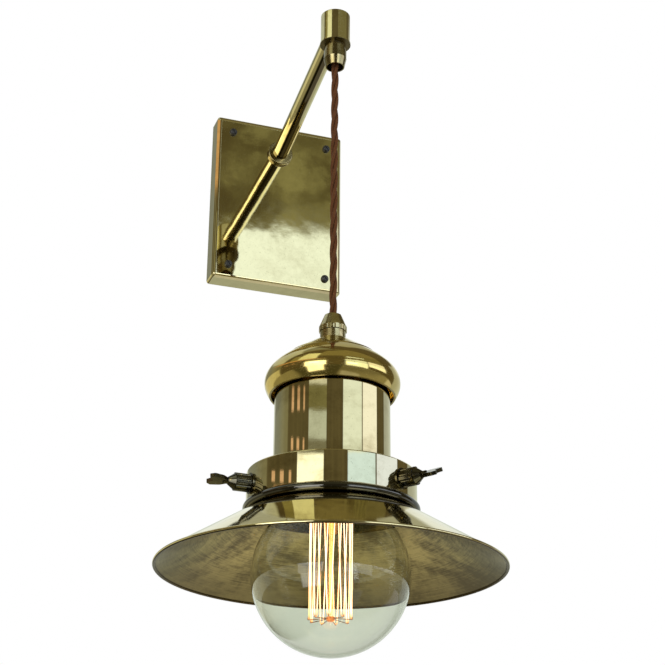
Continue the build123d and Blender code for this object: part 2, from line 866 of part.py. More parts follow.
# Globe: a blown ball that runs into a short neck inside the screw cap.
blend_x = globe_neck_r + globe_blend_r
blend_rise = math.sqrt((globe_r + globe_blend_r) ** 2 - blend_x**2)
blend_h = globe_h + blend_rise
touch = globe_r / (globe_r + globe_blend_r)
out_touch = (blend_x * touch, globe_h + blend_rise * touch)
in_r = globe_r - globe_wall
touch_in = in_r / (globe_r + globe_blend_r)
in_touch = (blend_x * touch_in, globe_h + blend_rise * touch_in)
lamp_neck_r = lamp_cap_r - lamp_cap_wall - seal_play
neck_top = lamp_cap_low + 7
with BuildPart() as globe:
    with BuildSketch(lamp_plane):
        with BuildLine():
            ThreePointArc((0, globe_h - globe_r), (globe_r, globe_h), out_touch)
            RadiusArc(out_touch, (globe_neck_r, blend_h), -globe_blend_r)
            Polyline(
                (globe_neck_r, blend_h),
                (globe_neck_r, lamp_cap_low - 1 - globe_taper),
                (lamp_neck_r, lamp_cap_low - 1),
                (lamp_neck_r, neck_top),
                (lamp_neck_r - globe_wall, neck_top),
                (lamp_neck_r - globe_wall, lamp_cap_low - 1.4),
                (globe_neck_r - globe_wall, lamp_cap_low - 1.4 - globe_taper),
                (globe_neck_r - globe_wall, blend_h),
            )
            RadiusArc((globe_neck_r - globe_wall, blend_h), in_touch, globe_blend_r + globe_wall)
            ThreePointArc(in_touch, (in_r, globe_h), (0, globe_h - in_r))
            Line((0, globe_h - in_r), (0, globe_h - globe_r))
        make_face()
    revolve(axis=lamp_axis)
globe.part.label = "globe"
export_step(globe.part, "parts/globe.step")

with BuildPart() as lamp_cap:
    turned(
        (lamp_cap_r - lamp_cap_wall, lamp_cap_low),
        (lamp_cap_r, lamp_cap_low),
        (lamp_cap_r, lamp_cap_high - lamp_cap_shoulder),
        (lamp_cap_top_r, lamp_cap_high),
        (lamp_cap_top_r - 1, lamp_cap_high),
        (lamp_cap_r - lamp_cap_wall, lamp_cap_high - lamp_cap_shoulder - lamp_cap_wall),
    )
lamp_cap.part.label = "lamp_cap"
export_step(lamp_cap.part, "parts/lamp_cap.step")

with BuildPart() as lamp_insulator:
    turned(
        (0, lamp_cap_high),
        (lamp_cap_top_r, lamp_cap_high),
        (lamp_tip_r, lamp_tip - lamp_tip_t),
        (0, lamp_tip - lamp_tip_t),
    )
lamp_insulator.part.label = "lamp_insulator"
export_step(lamp_insulator.part, "parts/lamp_insulator.step")

with BuildPart() as lamp_contact:
    turned(
        (0, lamp_tip - lamp_tip_t),
        (lamp_tip_r, lamp_tip - lamp_tip_t),
        (lamp_tip_end_r, lamp_tip),
        (0, lamp_tip),
    )
lamp_contact.part.label = "lamp_contact"
export_step(lamp_contact.part, "parts/lamp_contact.step")

# Glass mount: a flare sealed in the neck, a pinch, and a long rod ending in a button.
with BuildPart() as lamp_stem:
    turned(
        (0, neck_top - 4),
        (lamp_neck_r - globe_wall, neck_top - 4),
        (lamp_neck_r - globe_wall, neck_top - 5.5),
        (flare_r, neck_top - 11),
        (pinch_r, pinch_high),
        (pinch_r, pinch_low),
        (rod_r, rod_high),
        (rod_r, button_high),
        (button_r, button_high),
        (button_r, button_high - button_t),
        (button_r - 1.2, button_high - button_t - 1),
        (0, button_high - button_t - 1),
    )
lamp_stem.part.label = "lamp_stem"
export_step(lamp_stem.part, "parts/lamp_stem.step")

# Filament: one fine wire that zigzags round the cage from hook to hook and back to the stem.
strand_pitch = 2 * math.pi / (cage_strands + 1)
half_bend = cage_bend_w / 2 / cage_r
stops = [cage_point(0, cage_r, cage_high)]
for bend in range(1, cage_strands):
    height = cage_low if bend % 2 else cage_high
    stops.append(cage_point(bend * strand_pitch - half_bend, cage_r, height))
    stops.append(cage_point(bend * strand_pitch + half_bend, cage_r, height))
stops.append(cage_point(-strand_pitch, cage_r, cage_high))
lead_in = cage_point(0, lead_r, pinch_low + 1)
lead_out = cage_point(-strand_pitch, lead_r, pinch_low + 1)
with BuildPart() as filament:
    with BuildLine() as strand_route:
        FilletPolyline(lead_in, *stops, lead_out, radius=cage_bend_r)
    with BuildSketch(Plane(origin=strand_route.line @ 0, z_dir=strand_route.line % 0)):
        Circle(cage_wire_r)
    sweep(path=strand_route.line)
filament.part.label = "filament"
export_step(filament.part, "parts/filament.step")

# Hooked supports under the lower bends, from the button, and over the upper bends, from the pinch.
with BuildPart() as lamp_supports:
    for bend in range(1, cage_strands):
        low = bend % 2 == 1
        foot_r = (button_r if low else pinch_r) - support_sink
        foot_h = button_high - button_t / 2 if low else pinch_low + 2 * support_r
        outer = -hook_out if low else hook_out
        hook_h = (cage_low if low else cage_high) + outer
        with BuildLine() as support_route:
            FilletPolyline(
                cage_point(bend * strand_pitch, foot_r, foot_h),
                cage_point(bend * strand_pitch, cage_r + hook_out, hook_h),
                cage_point(bend * strand_pitch, cage_r + hook_out, hook_h - 2 * outer),
                radius=hook_bend_r,
            )
        with BuildSketch(Plane(origin=support_route.line @ 0, z_dir=support_route.line % 0)):
            Circle(support_r)
        sweep(path=support_route.line)
lamp_supports.part.label = "lamp_supports"
export_step(lamp_supports.part, "parts/lamp_supports.step")
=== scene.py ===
"""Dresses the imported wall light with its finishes, twisted flex, spun shade, clear globe and studio."""

import json
import math

import bpy
import numpy as np
from mathutils import Matrix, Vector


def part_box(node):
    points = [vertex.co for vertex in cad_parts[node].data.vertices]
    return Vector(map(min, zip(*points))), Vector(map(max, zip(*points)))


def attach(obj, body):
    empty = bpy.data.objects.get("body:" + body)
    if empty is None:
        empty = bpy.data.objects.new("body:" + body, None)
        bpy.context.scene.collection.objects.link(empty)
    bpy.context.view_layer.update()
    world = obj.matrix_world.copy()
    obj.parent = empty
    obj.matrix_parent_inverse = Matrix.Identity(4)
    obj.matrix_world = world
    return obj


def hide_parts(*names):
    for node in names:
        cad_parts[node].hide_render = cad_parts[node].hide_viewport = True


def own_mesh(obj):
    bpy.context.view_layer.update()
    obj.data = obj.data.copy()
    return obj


bl_info = {
    "name": "Brass wall light",
    "version": (1, 0, 0),
    "blender": (4, 5, 0),
    "location": "View3D > Sidebar > Wall light",
    "description": "Finishes, flex, globe and studio for a brass wall light with a hanging lamp",
    "category": "Object",
}

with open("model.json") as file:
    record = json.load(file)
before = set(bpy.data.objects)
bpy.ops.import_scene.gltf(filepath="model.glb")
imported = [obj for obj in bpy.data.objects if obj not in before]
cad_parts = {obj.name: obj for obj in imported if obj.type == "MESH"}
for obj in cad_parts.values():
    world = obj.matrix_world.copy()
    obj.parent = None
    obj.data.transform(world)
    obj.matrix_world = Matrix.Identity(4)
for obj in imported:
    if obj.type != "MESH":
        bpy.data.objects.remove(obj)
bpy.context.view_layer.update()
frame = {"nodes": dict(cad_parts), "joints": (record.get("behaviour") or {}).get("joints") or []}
NODES = frame["nodes"]

# The lamp's upright axis stands this far from the wall, and heights on it start at the shade's rim.
REACH = 0.182
RIM_Z = -0.399
AXIS_FOOT = np.array([0.0, -REACH, RIM_Z])

# The wall plate's half width, half height and the distance its face stands out.
PLATE_HALF_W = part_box("back_plate")[1].x
PLATE_HALF_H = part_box("back_plate")[1].z
PLATE_FACE = -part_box("back_plate")[0].y

# The plate's folded edges start to turn this far in, and slope this steeply at the very edge.
FOLD_WIDTH = 0.0042
FOLD_SLOPE = 1.3

# The arm's axis leaves the plate's face at this height and climbs this much for each unit outwards.
ARM_ROOT_Z = 0.0565
ARM_CLIMB = 0.237

# The braid: radians of rib for each metre of a strand, ribs round a strand, and the scale of its fuzz.
BRAID_RIBS = 5000.0
BRAID_ROUND = 6.0
BRAID_FUZZ = 1100.0

# Pitch of the polishing hairlines on brass, as a noise scale.
HAIRLINES = 2600.0

# The photograph's camera: place, turns in radians, and focal length and square frame in pixels.
CAMERA_PLACE = (-0.373884, -1.257284, -0.682658)
CAMERA_YAW = 0.33435
CAMERA_PITCH = 0.40118
CAMERA_ROLL = 0.00838
FOCAL_PIXELS = 1500.0
FRAME_PIXELS = 665.0
SENSOR_WIDTH = 36.0

DEGREES = math.degrees(1.0)
BLACK = (0.0, 0.0, 0.0)
WHITE = (1.0, 1.0, 1.0)


def metres(name, description, default):
    """A size that a user may change."""
    return bpy.props.FloatProperty(name=name, description=description, default=default, unit="LENGTH")


def swatch(name, description, default):
    """A colour that a user may change."""
    return bpy.props.FloatVectorProperty(
        name=name, description=description, default=default, subtype="COLOR"
    )


class WallLightSizes(bpy.types.PropertyGroup):
    """Sizes of the pieces made here, in metres; heights are above the shade's rim."""

    flex_radius: metres("Flex radius", "Half the width of the twisted flex", 0.0033)
    flex_top: metres("Flex top", "Height at which the flex leaves the upper grip", 0.4657)
    flex_low: metres("Flex foot", "Height at which the flex ends in the lower grip", 0.2003)
    flex_lay: metres("Flex lay", "Length of one full turn of the twist", 0.060)
    globe_radius: metres("Globe radius", "Outside radius of the glass ball", 0.0622)
    globe_height: metres("Globe height", "Height of the ball's middle", -0.0048)
    globe_neck: metres("Globe neck", "Outside radius of the glass neck", 0.016)
    globe_blend: metres("Globe blend", "Radius of the hollow curve from ball to neck", 0.018)
    globe_seal: metres("Globe seal", "Outside radius of the glass inside the screw cap", 0.0127)
    cap_low: metres("Screw cap foot", "Height of the screw cap's lower edge", 0.0805)
    glass_wall: metres("Glass wall", "Thickness of the blown glass", 0.001)
    shade_rim: metres("Shade rim", "Radius of the shade over its rim wire", 0.1375)
    shade_wire: metres("Rim wire", "Radius of the rolled rim's section", 0.0013)
    shade_sheet: metres("Shade sheet", "Thickness of the shade's sheet", 0.0009)
    shade_slope: bpy.props.FloatProperty(
        name="Shade slope", description="Fall of the cone for each unit outwards", default=0.611
    )
    shade_neck: metres("Shade neck", "Outside radius of the shade's neck", 0.0625)
    shade_lip: metres("Shade lip", "Radius of the lip on top of the neck", 0.0648)
    shade_ledge: metres("Lip thickness", "Thickness of the lip", 0.0012)
    shade_mouth: metres("Cone top", "Height at which the cone meets the neck", 0.04583)
    shade_top: metres("Shade top", "Height of the lip's upper face", 0.066)


class WallLightColours(bpy.types.PropertyGroup):
    """Colours of the finishes, as linear values."""

    brass: swatch("Brass", "Polished pale brass", (0.75, 0.66, 0.38))
    gold: swatch("Golden brass", "Warmer brass of the spun dome", (0.76, 0.60, 0.22))
    tarnish: swatch("Tarnish", "Olive brown tarnish", (0.31, 0.24, 0.095))
    # Also painted shade: under the dome's lip and the end block, the lampshade's rim line and the arm's
    # strip.
    soot_and_shade: swatch("Soot", "Dark brown in seams and corners", (0.075, 0.052, 0.022))
    darkened: swatch("Darkened brass", "Blackened fittings", (0.100, 0.094, 0.070))
    braid: swatch("Braid", "Brown braid of the flex", (0.110, 0.040, 0.013))
    glow: swatch("Glow", "Lit filament", (1.0, 0.40, 0.10))
    glass: swatch("Glass", "Faint grey-green of the globe", (0.93, 0.945, 0.905))


class Value:
    """One socket on its way through a node tree; arithmetic on it adds Math nodes."""

    def __init__(self, finish, socket):
        self.finish = finish
        self.socket = socket

    def __add__(self, other):
        return self.finish.maths("ADD", self, other)

    __radd__ = __add__

    def __sub__(self, other):
        return self.finish.maths("SUBTRACT", self, other)

    def __rsub__(self, other):
        return self.finish.maths("SUBTRACT", other, self)

    def __mul__(self, other):
        return self.finish.maths("MULTIPLY", self, other)

    __rmul__ = __mul__

    def __neg__(self):
        return self * -1.0


class Finish:
    """A material or world whose nodes are all added by one method."""

    def __init__(self, holder):
        self.holder = holder
        holder.use_nodes = True
        self.tree = holder.node_tree
        self.tree.nodes.clear()

    def node(self, kind, settings=None, inputs=None, out=0):
        """Adds one node, applies its settings, fills or links its sockets and hands back one output."""
        made = self.tree.nodes.new(kind)
        for name, value in (settings or {}).items():
            setattr(made, name, value)
        for key, value in (inputs or {}).items():
            if isinstance(value, Value):
                self.tree.links.new(value.socket, made.inputs[key])
            else:
                made.inputs[key].default_value = value
        return Value(self, made.outputs[out]) if made.outputs else None

    def maths(self, operation, *values):
        return self.node("ShaderNodeMath", {"operation": operation}, dict(enumerate(values)))

    def part(self, vector, axis):
        return self.node("ShaderNodeSeparateXYZ", None, {0: vector}, out=axis)

    def noise(self, vector, scale, detail=4.0, roughness=0.55, distortion=0.0):
        inputs = {"Vector": vector, "Scale": scale, "Detail": detail, "Roughness": roughness}
        inputs["Distortion"] = distortion
        return self.node("ShaderNodeTexNoise", {"noise_dimensions": "3D"}, inputs, out="Fac")

    def cells(self, vector, scale):
        inputs = {"Vector": vector, "Scale": scale}
        return self.node("ShaderNodeTexVoronoi", {"feature": "F1"}, inputs, out="Distance")

    def stretch(self, vector, scale, shift=(0.0, 0.0, 0.0)):
        inputs = {"Vector": vector, "Scale": scale, "Location": shift}
        return self.node("ShaderNodeMapping", {"vector_type": "POINT"}, inputs)

    def rise(self, value, low, high):
        """0 below low, 1 above high, with a smooth step between."""
        settings = {"interpolation_type": "SMOOTHSTEP", "clamp": True}
        inputs = {"Value": value, "From Min": low, "From Max": high}
        return self.node("ShaderNodeMapRange", settings, inputs)

    def band(self, value, low, high, soft):
        """1 between low and high, falling to 0 over the width soft at each end."""
        enter = self.rise(value, low - soft / 2, low + soft / 2)
        leave = self.rise(value, high - soft / 2, high + soft / 2)
        return enter * (1.0 - leave)

    def past(self, value, limit):
        """How far a value's size goes past a limit, and 0 within it."""
        return self.maths("MAXIMUM", self.maths("ABSOLUTE", value) - limit, 0.0)

    def blend(self, factor, first, second):
        """A mix of two normals."""
        inputs = {"Factor": factor, 4: first, 5: second}
        return self.node("ShaderNodeMix", {"data_type": "VECTOR"}, inputs, out=1)

    def mix(self, factor, first, second):
        """A mix of two colours."""
        inputs = {"Factor": factor, 6: rgba(first), 7: rgba(second)}
        return self.node("ShaderNodeMix", {"data_type": "RGBA", "blend_type": "MIX"}, inputs, out=2)

    def around_axis(self, vector):
        """Distance from the lamp's upright axis, angle round it, and height above the rim."""
        inputs = {0: vector, 1: (1.0, 1.0, 0.0), 2: (0.0, REACH, 0.0)}
        flat = self.node("ShaderNodeVectorMath", {"operation": "MULTIPLY_ADD"}, inputs)
        radius = self.node("ShaderNodeVectorMath", {"operation": "LENGTH"}, {0: flat}, out="Value")
        angle = self.maths("ARCTAN2", self.part(flat, "Y"), self.part(flat, "X"))
        return radius, angle, self.part(vector, "Z") - RIM_Z

    def bump(self, height, distance):
        inputs = {"Height": height, "Strength": 1.0, "Distance": distance}
        return self.node("ShaderNodeBump", None, inputs)

    def surface(self, **sockets):
        inputs = {name.replace("_", " "): value for name, value in sockets.items()}
        shader = self.node("ShaderNodeBsdfPrincipled", None, inputs)
        self.node("ShaderNodeOutputMaterial", None, {"Surface": shader})
        return self.holder


def rgba(colour):
    """A colour with full cover, or a link as it is."""
    return colour if isinstance(colour, Value) else (*tuple(colour)[:3], 1.0)


def shaded(colour, factor):
    return tuple(channel * factor for channel in colour)


def palette():
    return bpy.context.scene.wall_light_colours


def new_finish(name):
    """A new material's finish, and the place of each point on the piece."""
    finish = Finish(bpy.data.materials.new(name))
    return finish, finish.node("ShaderNodeTexCoord", out="Object")


def painted_reflection_strip(finish, place, fine):
    """The arm's painted dark reflection: a band along its underside, beside its lowest line.

    It is measured across a line that lies about 21 degrees round the arm.
    """
    start = ARM_ROOT_Z - ARM_CLIMB * PLATE_FACE
    above = finish.part(place, "Z") + finish.part(place, "Y") * ARM_CLIMB - start
    aside = finish.part(place, "X") * 0.93 - above * 0.36 + (fine - 0.5) * 0.0005
    return finish.band(aside, -0.0014, 0.0045, 0.0012) * (1.0 - finish.rise(above, -0.003, 0.0))


def leaning_face(finish, place, skin, ripple, lean):
    """The plate's normal: the face mirrors as one that slopes back by lean, and turns over at the folds.

    The bump falls by lean for each unit of height, and in a fold by the square of the way past its start.
    """
    upright = finish.part(place, "Z")
    face = finish.rise(-finish.part(place, "Y"), PLATE_FACE - 0.0009, PLATE_FACE - 0.0003)
    beside = finish.past(finish.part(place, "X"), PLATE_HALF_W - FOLD_WIDTH)
    beyond = finish.past(upright, PLATE_HALF_H - FOLD_WIDTH)
    drop = (beside * beside + beyond * beyond) * (FOLD_SLOPE / (2.0 * FOLD_WIDTH * ripple))
    sloped = finish.bump(skin - upright * (lean / ripple), ripple)
    folded = finish.bump(skin - drop, ripple)
    sloped = finish.blend(finish.rise(beside + beyond, 0.0, 0.0004), sloped, folded)
    return finish.blend(face, finish.bump(skin, ripple), sloped)


def aged_brass(
    name, metal, cover, rough, grain, shift,
    ripple=0.00006, turned=True, soot_and_shade_bands=(), deep=0.75, lean=0.0, arm=False,
):
    """Polished brass under drifting tarnish.

    Cloud noise, stretched by grain and moved by shift, sets where the tarnish lies: cover is the noise's
    range from bare to covered, deep the strength of the cover, and rough the roughness of each. The bump is
    a slow ripple of the sheet with hairlines that run round a turned piece, or along a flat one. Soot in
    joins, and painted shade under the dome's lip and the end block, lie in bands, each given by a height
    and half a width. A lean is for the plate, and arm for the arm's strip of painted dark reflection.
    """
    colours = palette()
    finish, place = new_finish(name)
    radius, angle, height = finish.around_axis(place)
    clouds = finish.noise(finish.stretch(place, grain, (shift, shift, shift)), 1.0, 7.0, 0.6, 0.5)
    fine = finish.noise(place, 170.0, 5.0, 0.65)
    stain = finish.rise(clouds * 0.78 + fine * 0.22, *cover)
    pits = finish.rise(finish.noise(place, 950.0, 2.0), 0.66, 0.76)
    base = finish.mix(stain * deep, metal, colours.tarnish)
    base = finish.mix(finish.rise(fine, 0.35, 0.75) * 0.22, base, shaded(metal, 0.72))
    base = finish.mix(pits * 0.5, base, colours.soot_and_shade)
    dirt_and_shade = pits * 0.1
    # Soot darkens the joins; the bands under the dome's lip and the end block are painted shade.
    for middle, width in soot_and_shade_bands:
        dirt_and_shade = dirt_and_shade + finish.band(height + (fine - 0.5) * width, middle - width, middle + width, width)
    base = finish.mix(dirt_and_shade * 0.85, base, colours.soot_and_shade)
    # Painted dark reflection: a dark strip along the arm's underside.
    if arm:
        base = finish.mix(painted_reflection_strip(finish, place, fine) * 0.92, base, shaded(colours.soot_and_shade, 0.6))
    if turned:
        inputs = {0: angle * 3.0, 1: (radius + height) * HAIRLINES, 2: 0.0}
        run = finish.node("ShaderNodeCombineXYZ", None, inputs)
    else:
        run = finish.stretch(place, (HAIRLINES, 160.0, 90.0))
    hairs = finish.noise(run, 1.0, 2.0)
    skin = finish.noise(place, 34.0, 2.0, 0.4) + hairs * 0.02 + fine * 0.05
    clean, covered = rough
    return finish.surface(
        Base_Color=base,
        Metallic=1.0,
        Roughness=stain * (covered - clean) + (clean + dirt_and_shade * 0.25 + hairs * 0.008),
        Normal=leaning_face(finish, place, skin, ripple, lean) if lean else finish.bump(skin, ripple),
    )


def contact_brass(name, shift):
    """Golden brass of the lamp cap and the holder's shell, with little tarnish."""
    return aged_brass(name, palette().gold, (0.50, 0.80), (0.16, 0.26), (80.0, 80.0, 80.0), shift)


def shade_brass(name):
    """Shade sheet: bright and mirror-like above; brushed, tarnished and darkened by painted shade
    underneath.

    The underside is told from the top by its depth below the outer cone, slope * (rim - radius) - height.
    """
    colours = palette()
    sizes = bpy.context.scene.wall_light_sizes
    rim = sizes.shade_rim
    finish, place = new_finish(name)
    radius, angle, height = finish.around_axis(place)
    depth = (rim - radius) * sizes.shade_slope - height
    under = finish.rise(depth, 0.00045, 0.00065)
    drift = finish.stretch(place, (17.0, 17.0, 17.0), (2.0, 5.0, 1.0))
    clouds = finish.noise(drift, 1.0, 6.0, 0.62, 0.6)
    fine = finish.noise(place, 210.0, 5.0, 0.65)
    run = finish.node("ShaderNodeCombineXYZ", None, {0: angle * 5.0, 1: radius * 900.0, 2: 0.0})
    brushed = finish.noise(run, 1.0, 4.0, 0.65)
    stain = finish.rise(clouds * 0.72 + fine * 0.28, 0.44, 0.70)
    patches = finish.rise(clouds * 0.62 + brushed * 0.24 + fine * 0.14, 0.40, 0.58)
    # Painted shade: a dark line along the underside of the rim wire.
    edge = finish.rise(radius, rim - 0.0034, rim - 0.0024) * under
    top = finish.mix(stain * 0.5, colours.brass, colours.tarnish)
    # Underside darker than the top: partly tarnish, partly painted shade; painted darker still near the
    # rim.
    below = finish.mix(patches, shaded(colours.gold, 0.74), shaded(colours.tarnish, 0.5))
    below = finish.mix(finish.rise(radius, 0.085, 0.132) * 0.7, below, shaded(colours.tarnish, 0.4))
    return finish.surface(
        Base_Color=finish.mix(edge * 0.85, finish.mix(under, top, below), colours.soot_and_shade),
        Metallic=1.0,
        Roughness=under * (0.16 + brushed * 0.18) + (0.05 + stain * 0.07),
        Normal=finish.bump(finish.noise(place, 30.0, 2.0) + brushed * 0.03, 0.00009),
    )


def darkened_brass(name):
    """Blackened brass, rubbed back to gold in patches, with a cast grain."""
    colours = palette()
    finish, place = new_finish(name)
    clouds = finish.noise(place, 240.0, 5.0, 0.6)
    grain = finish.noise(place, 1400.0, 3.0, 0.6)
    rubbed = finish.rise(clouds * 0.85 + grain * 0.15, 0.56, 0.70)
    base = finish.mix(rubbed * 0.75, colours.darkened, shaded(colours.gold, 0.6))
    return finish.surface(
        Base_Color=finish.mix(finish.rise(grain, 0.5, 0.8) * 0.25, base, shaded(colours.soot_and_shade, 0.6)),
        Metallic=1.0,
        Roughness=0.13 - rubbed * 0.03 + grain * 0.06,
        Normal=finish.bump(clouds + grain * 0.05, 0.00005),
    )


def black_gloss(name):
    """Polished black metal ring with a faint uneven skin and dulled spots."""
    finish, place = new_finish(name)
    skin = finish.noise(place, 180.0, 3.0)
    dull = finish.rise(finish.noise(place, 60.0, 4.0), 0.48, 0.66)
    return finish.surface(
        Base_Color=finish.mix(skin, (0.085, 0.083, 0.076), (0.125, 0.120, 0.108)),
        Metallic=1.0,
        Roughness=skin * 0.05 + dull * 0.06 + 0.04,
        Normal=finish.bump(skin, 0.00004),
    )


def dull_black(name):
    """Dull black skin with a fine pebbled grain."""
    finish, place = new_finish(name)
    grain = finish.noise(place, 900.0, 3.0)
    clouds = finish.noise(place, 80.0, 3.0)
    return finish.surface(
        Base_Color=finish.mix(clouds * 0.6 + grain * 0.4, (0.009, 0.009, 0.009), (0.030, 0.029, 0.028)),
        Roughness=grain * 0.2 + 0.35,
        Normal=finish.bump(grain, 0.0001),
    )


def glazed_white(name):
    """Off-white glazed core with slight clouding and specks of brown."""
    finish, place = new_finish(name)
    clouds = finish.noise(place, 90.0, 4.0)
    specks = finish.rise(finish.noise(place, 700.0, 2.0), 0.68, 0.76)
    glaze = finish.mix(clouds, (0.78, 0.76, 0.70), (0.66, 0.63, 0.56))
    return finish.surface(
        Base_Color=finish.mix(specks * 0.6, glaze, (0.30, 0.22, 0.14)),
        Roughness=clouds * 0.2 + 0.12,
        Coat_Weight=0.5,
        Normal=finish.bump(clouds, 0.0002),
    )


def plated_steel(name):
    """Zinc plated steel with crystal clouding and dull spots."""
    finish, place = new_finish(name)
    clouds = finish.noise(place, 240.0, 5.0, 0.7)
    crystals = finish.cells(place, 420.0)
    return finish.surface(
        Base_Color=finish.mix(clouds * 0.6 + crystals * 0.4, (0.38, 0.38, 0.36), (0.68, 0.67, 0.62)),
        Metallic=1.0,
        Roughness=clouds * 0.25 + 0.18,
        Normal=finish.bump(clouds, 0.00008),
    )


def braided_fabric(name):
    """Woven sleeve of each strand, drawn on the strand's own UV map.

    Two sets of ribs cross at equal angles, sin(along + around) and sin(along - around). The weave is their
    product.
    """
    braid = palette().braid
    finish, place = new_finish(name)
    uv = finish.node("ShaderNodeTexCoord", out="UV")
    along = finish.part(uv, "Y") * BRAID_RIBS
    around = finish.part(uv, "X") * (BRAID_ROUND * math.tau)
    weave = finish.maths("SINE", along + around) * finish.maths("SINE", along - around) * 0.5 + 0.5
    fuzz = finish.noise(place, BRAID_FUZZ, 4.0)
    clouds = finish.noise(place, 70.0, 3.0)
    base = finish.mix(weave, shaded(braid, 0.5), shaded(braid, 1.25))
    base = finish.mix(finish.rise(fuzz, 0.48, 0.75) * 0.5, base, shaded(braid, 1.9))
    base = finish.mix(finish.rise(clouds, 0.45, 0.65) * 0.3, base, shaded(braid, 0.6))
    return finish.surface(
        Base_Color=base,
        Roughness=0.66 - weave * 0.12,
        Specular_IOR_Level=0.15,
        Sheen_Weight=0.03,
        Normal=finish.bump(weave + fuzz * 0.5, 0.00012),
    )


def smooth_braid(name):
    """The same brown sleeve where the flex runs unseen inside the grips, with no map of its own."""
    braid = palette().braid
    finish, place = new_finish(name)
    fuzz = finish.noise(place, BRAID_FUZZ, 4.0)
    ribs = finish.maths("SINE", finish.part(place, "Z") * BRAID_RIBS) * 0.5 + 0.5
    return finish.surface(
        Base_Color=finish.mix(ribs * 0.5 + fuzz * 0.5, shaded(braid, 0.5), shaded(braid, 1.5)),
        Roughness=0.66 - fuzz * 0.1,
        Normal=finish.bump(ribs * 0.4 + fuzz, 0.00012),
    )


def clear_glass(name, tint):
    """Clear blown glass with a breath of colour, faint waves and thin dust that dulls it in places."""
    finish, place = new_finish(name)
    waves = finish.noise(place, 26.0, 2.0)
    dust = finish.rise(finish.noise(place, 60.0, 5.0, 0.7), 0.52, 0.78)
    return finish.surface(
        Base_Color=finish.mix(dust * 0.12, tint, shaded(tint, 0.9)),
        Roughness=dust * 0.015,
        IOR=1.5,
        Specular_IOR_Level=0.9,
        Transmission_Weight=1.0,
        Normal=finish.bump(waves, 0.00008),
    )


def stem_glass_painted_glow(name):
    """Glass mount inside the globe: clear above, amber in the button holding the lower hooks, as painted
    glow.
    """
    glow = palette().glow
    button_top = -0.0366
    finish, place = new_finish(name)
    height = finish.around_axis(place)[2]
    streaks = finish.noise(finish.stretch(place, (1.0, 1.0, 0.1)), 500.0, 3.0)
    button = 1.0 - finish.rise(height, button_top, button_top + 0.0006)
    clear = finish.mix(streaks * 0.3, (0.97, 0.96, 0.92), (0.90, 0.84, 0.74))
    return finish.surface(
        Base_Color=finish.mix(button, clear, (0.62, 0.24, 0.05)),
        Roughness=button * 0.25 + streaks * 0.02,
        IOR=1.5,
        Transmission_Weight=0.85,
        # Painted glow: the whole glass mount gives off orange light, dimmer in the button.
        Emission_Color=finish.mix(button, (0.95, 0.36, 0.04), shaded(glow, 0.4)),
        Emission_Strength=0.75,
        Normal=finish.bump(streaks, 0.00005),
    )


def lit_wire(name):
    """Glowing filament: nearly white along its length, with hotter spots, and orange at the hooks."""
    glow = palette().glow
    low_hooks, high_hooks = (-0.0392, -0.0340), (0.0460, 0.0560)
    finish, place = new_finish(name)
    height = finish.around_axis(place)[2]
    spots = finish.noise(finish.stretch(place, (1.0, 1.0, 0.15)), 170.0, 3.0)
    ends = finish.rise(height, *low_hooks) * (1.0 - finish.rise(height, *high_hooks))
    hot = finish.mix(finish.rise(spots, 0.32, 0.60), (1.0, 0.48, 0.18), (1.0, 0.70, 0.42))
    return finish.surface(
        Base_Color=(0.2, 0.1, 0.05, 1.0),
        Roughness=0.5,
        Emission_Color=finish.mix(ends, shaded(glow, 0.5), hot),
        Emission_Strength=3.2,
    )


def dull_wire(name):
    """Fine support wires, warm grey, and reddened by heat away from the stem."""
    finish, place = new_finish(name)
    clouds = finish.noise(place, 300.0, 3.0)
    heated = finish.rise(finish.around_axis(place)[0], 0.006, 0.018)
    cold = finish.mix(clouds, (0.30, 0.20, 0.13), (0.55, 0.42, 0.30))
    return finish.surface(
        Base_Color=finish.mix(heated * 0.7, cold, (0.70, 0.30, 0.12)),
        Metallic=1.0,
        Roughness=clouds * 0.2 + 0.25,
    )


def sheath(name):
    """Smooth brown sheath of the inner cores, slightly dulled."""
    finish, place = new_finish(name)
    clouds = finish.noise(place, 200.0, 3.0)
    return finish.surface(
        Base_Color=finish.mix(clouds, (0.10, 0.045, 0.02), (0.16, 0.075, 0.035)),
        Roughness=clouds * 0.2 + 0.3,
        Normal=finish.bump(clouds, 0.00005),
    )


def dress(material, *names):
    """Gives CAD nodes one finish, in place of the plain one they came with."""
    for name in names:
        node = NODES[name]
        node.data.materials.clear()
        node.data.materials.append(material)


def added(name, data):
    """A new object in the scene."""
    made = bpy.data.objects.new(name, data)
    bpy.context.scene.collection.objects.link(made)
    return made


def link(name, mesh, material):
    """A new piece in the scene with one material."""
    mesh.materials.append(material)
    return added(name, mesh)


def smooth_mesh(name, points, faces):
    """A mesh of points and faces with smooth shading."""
    mesh = bpy.data.meshes.new(name)
    mesh.from_pydata(points, [], faces)
    mesh.polygons.foreach_set("use_smooth", np.ones(len(mesh.polygons), dtype=bool))
    mesh.update()
    return mesh


def ring_quads(rows, columns, start=0):
    """Quads between neighbouring rings of points, each ring closed on itself."""
    row, column = np.meshgrid(np.arange(rows - 1), np.arange(columns), indexing="ij")
    over = (column + 1) % columns
    low, high = start + row * columns, start + (row + 1) * columns
    return np.stack([low + column, low + over, high + over, high + column], axis=-1).reshape(-1, 4)


def end_fans(rows, columns, start=0):
    """Triangles that join the first and last rings to two poles, whose points follow the rings."""
    step = np.arange(columns)
    over = (step + 1) % columns
    last, pole = start + (rows - 1) * columns, start + rows * columns
    first_fan = np.stack([np.full(columns, pole), start + over, start + step], axis=-1)
    last_fan = np.stack([np.full(columns, pole + 1), last + step, last + over], axis=-1)
    return [*first_fan.tolist(), *last_fan.tolist()]


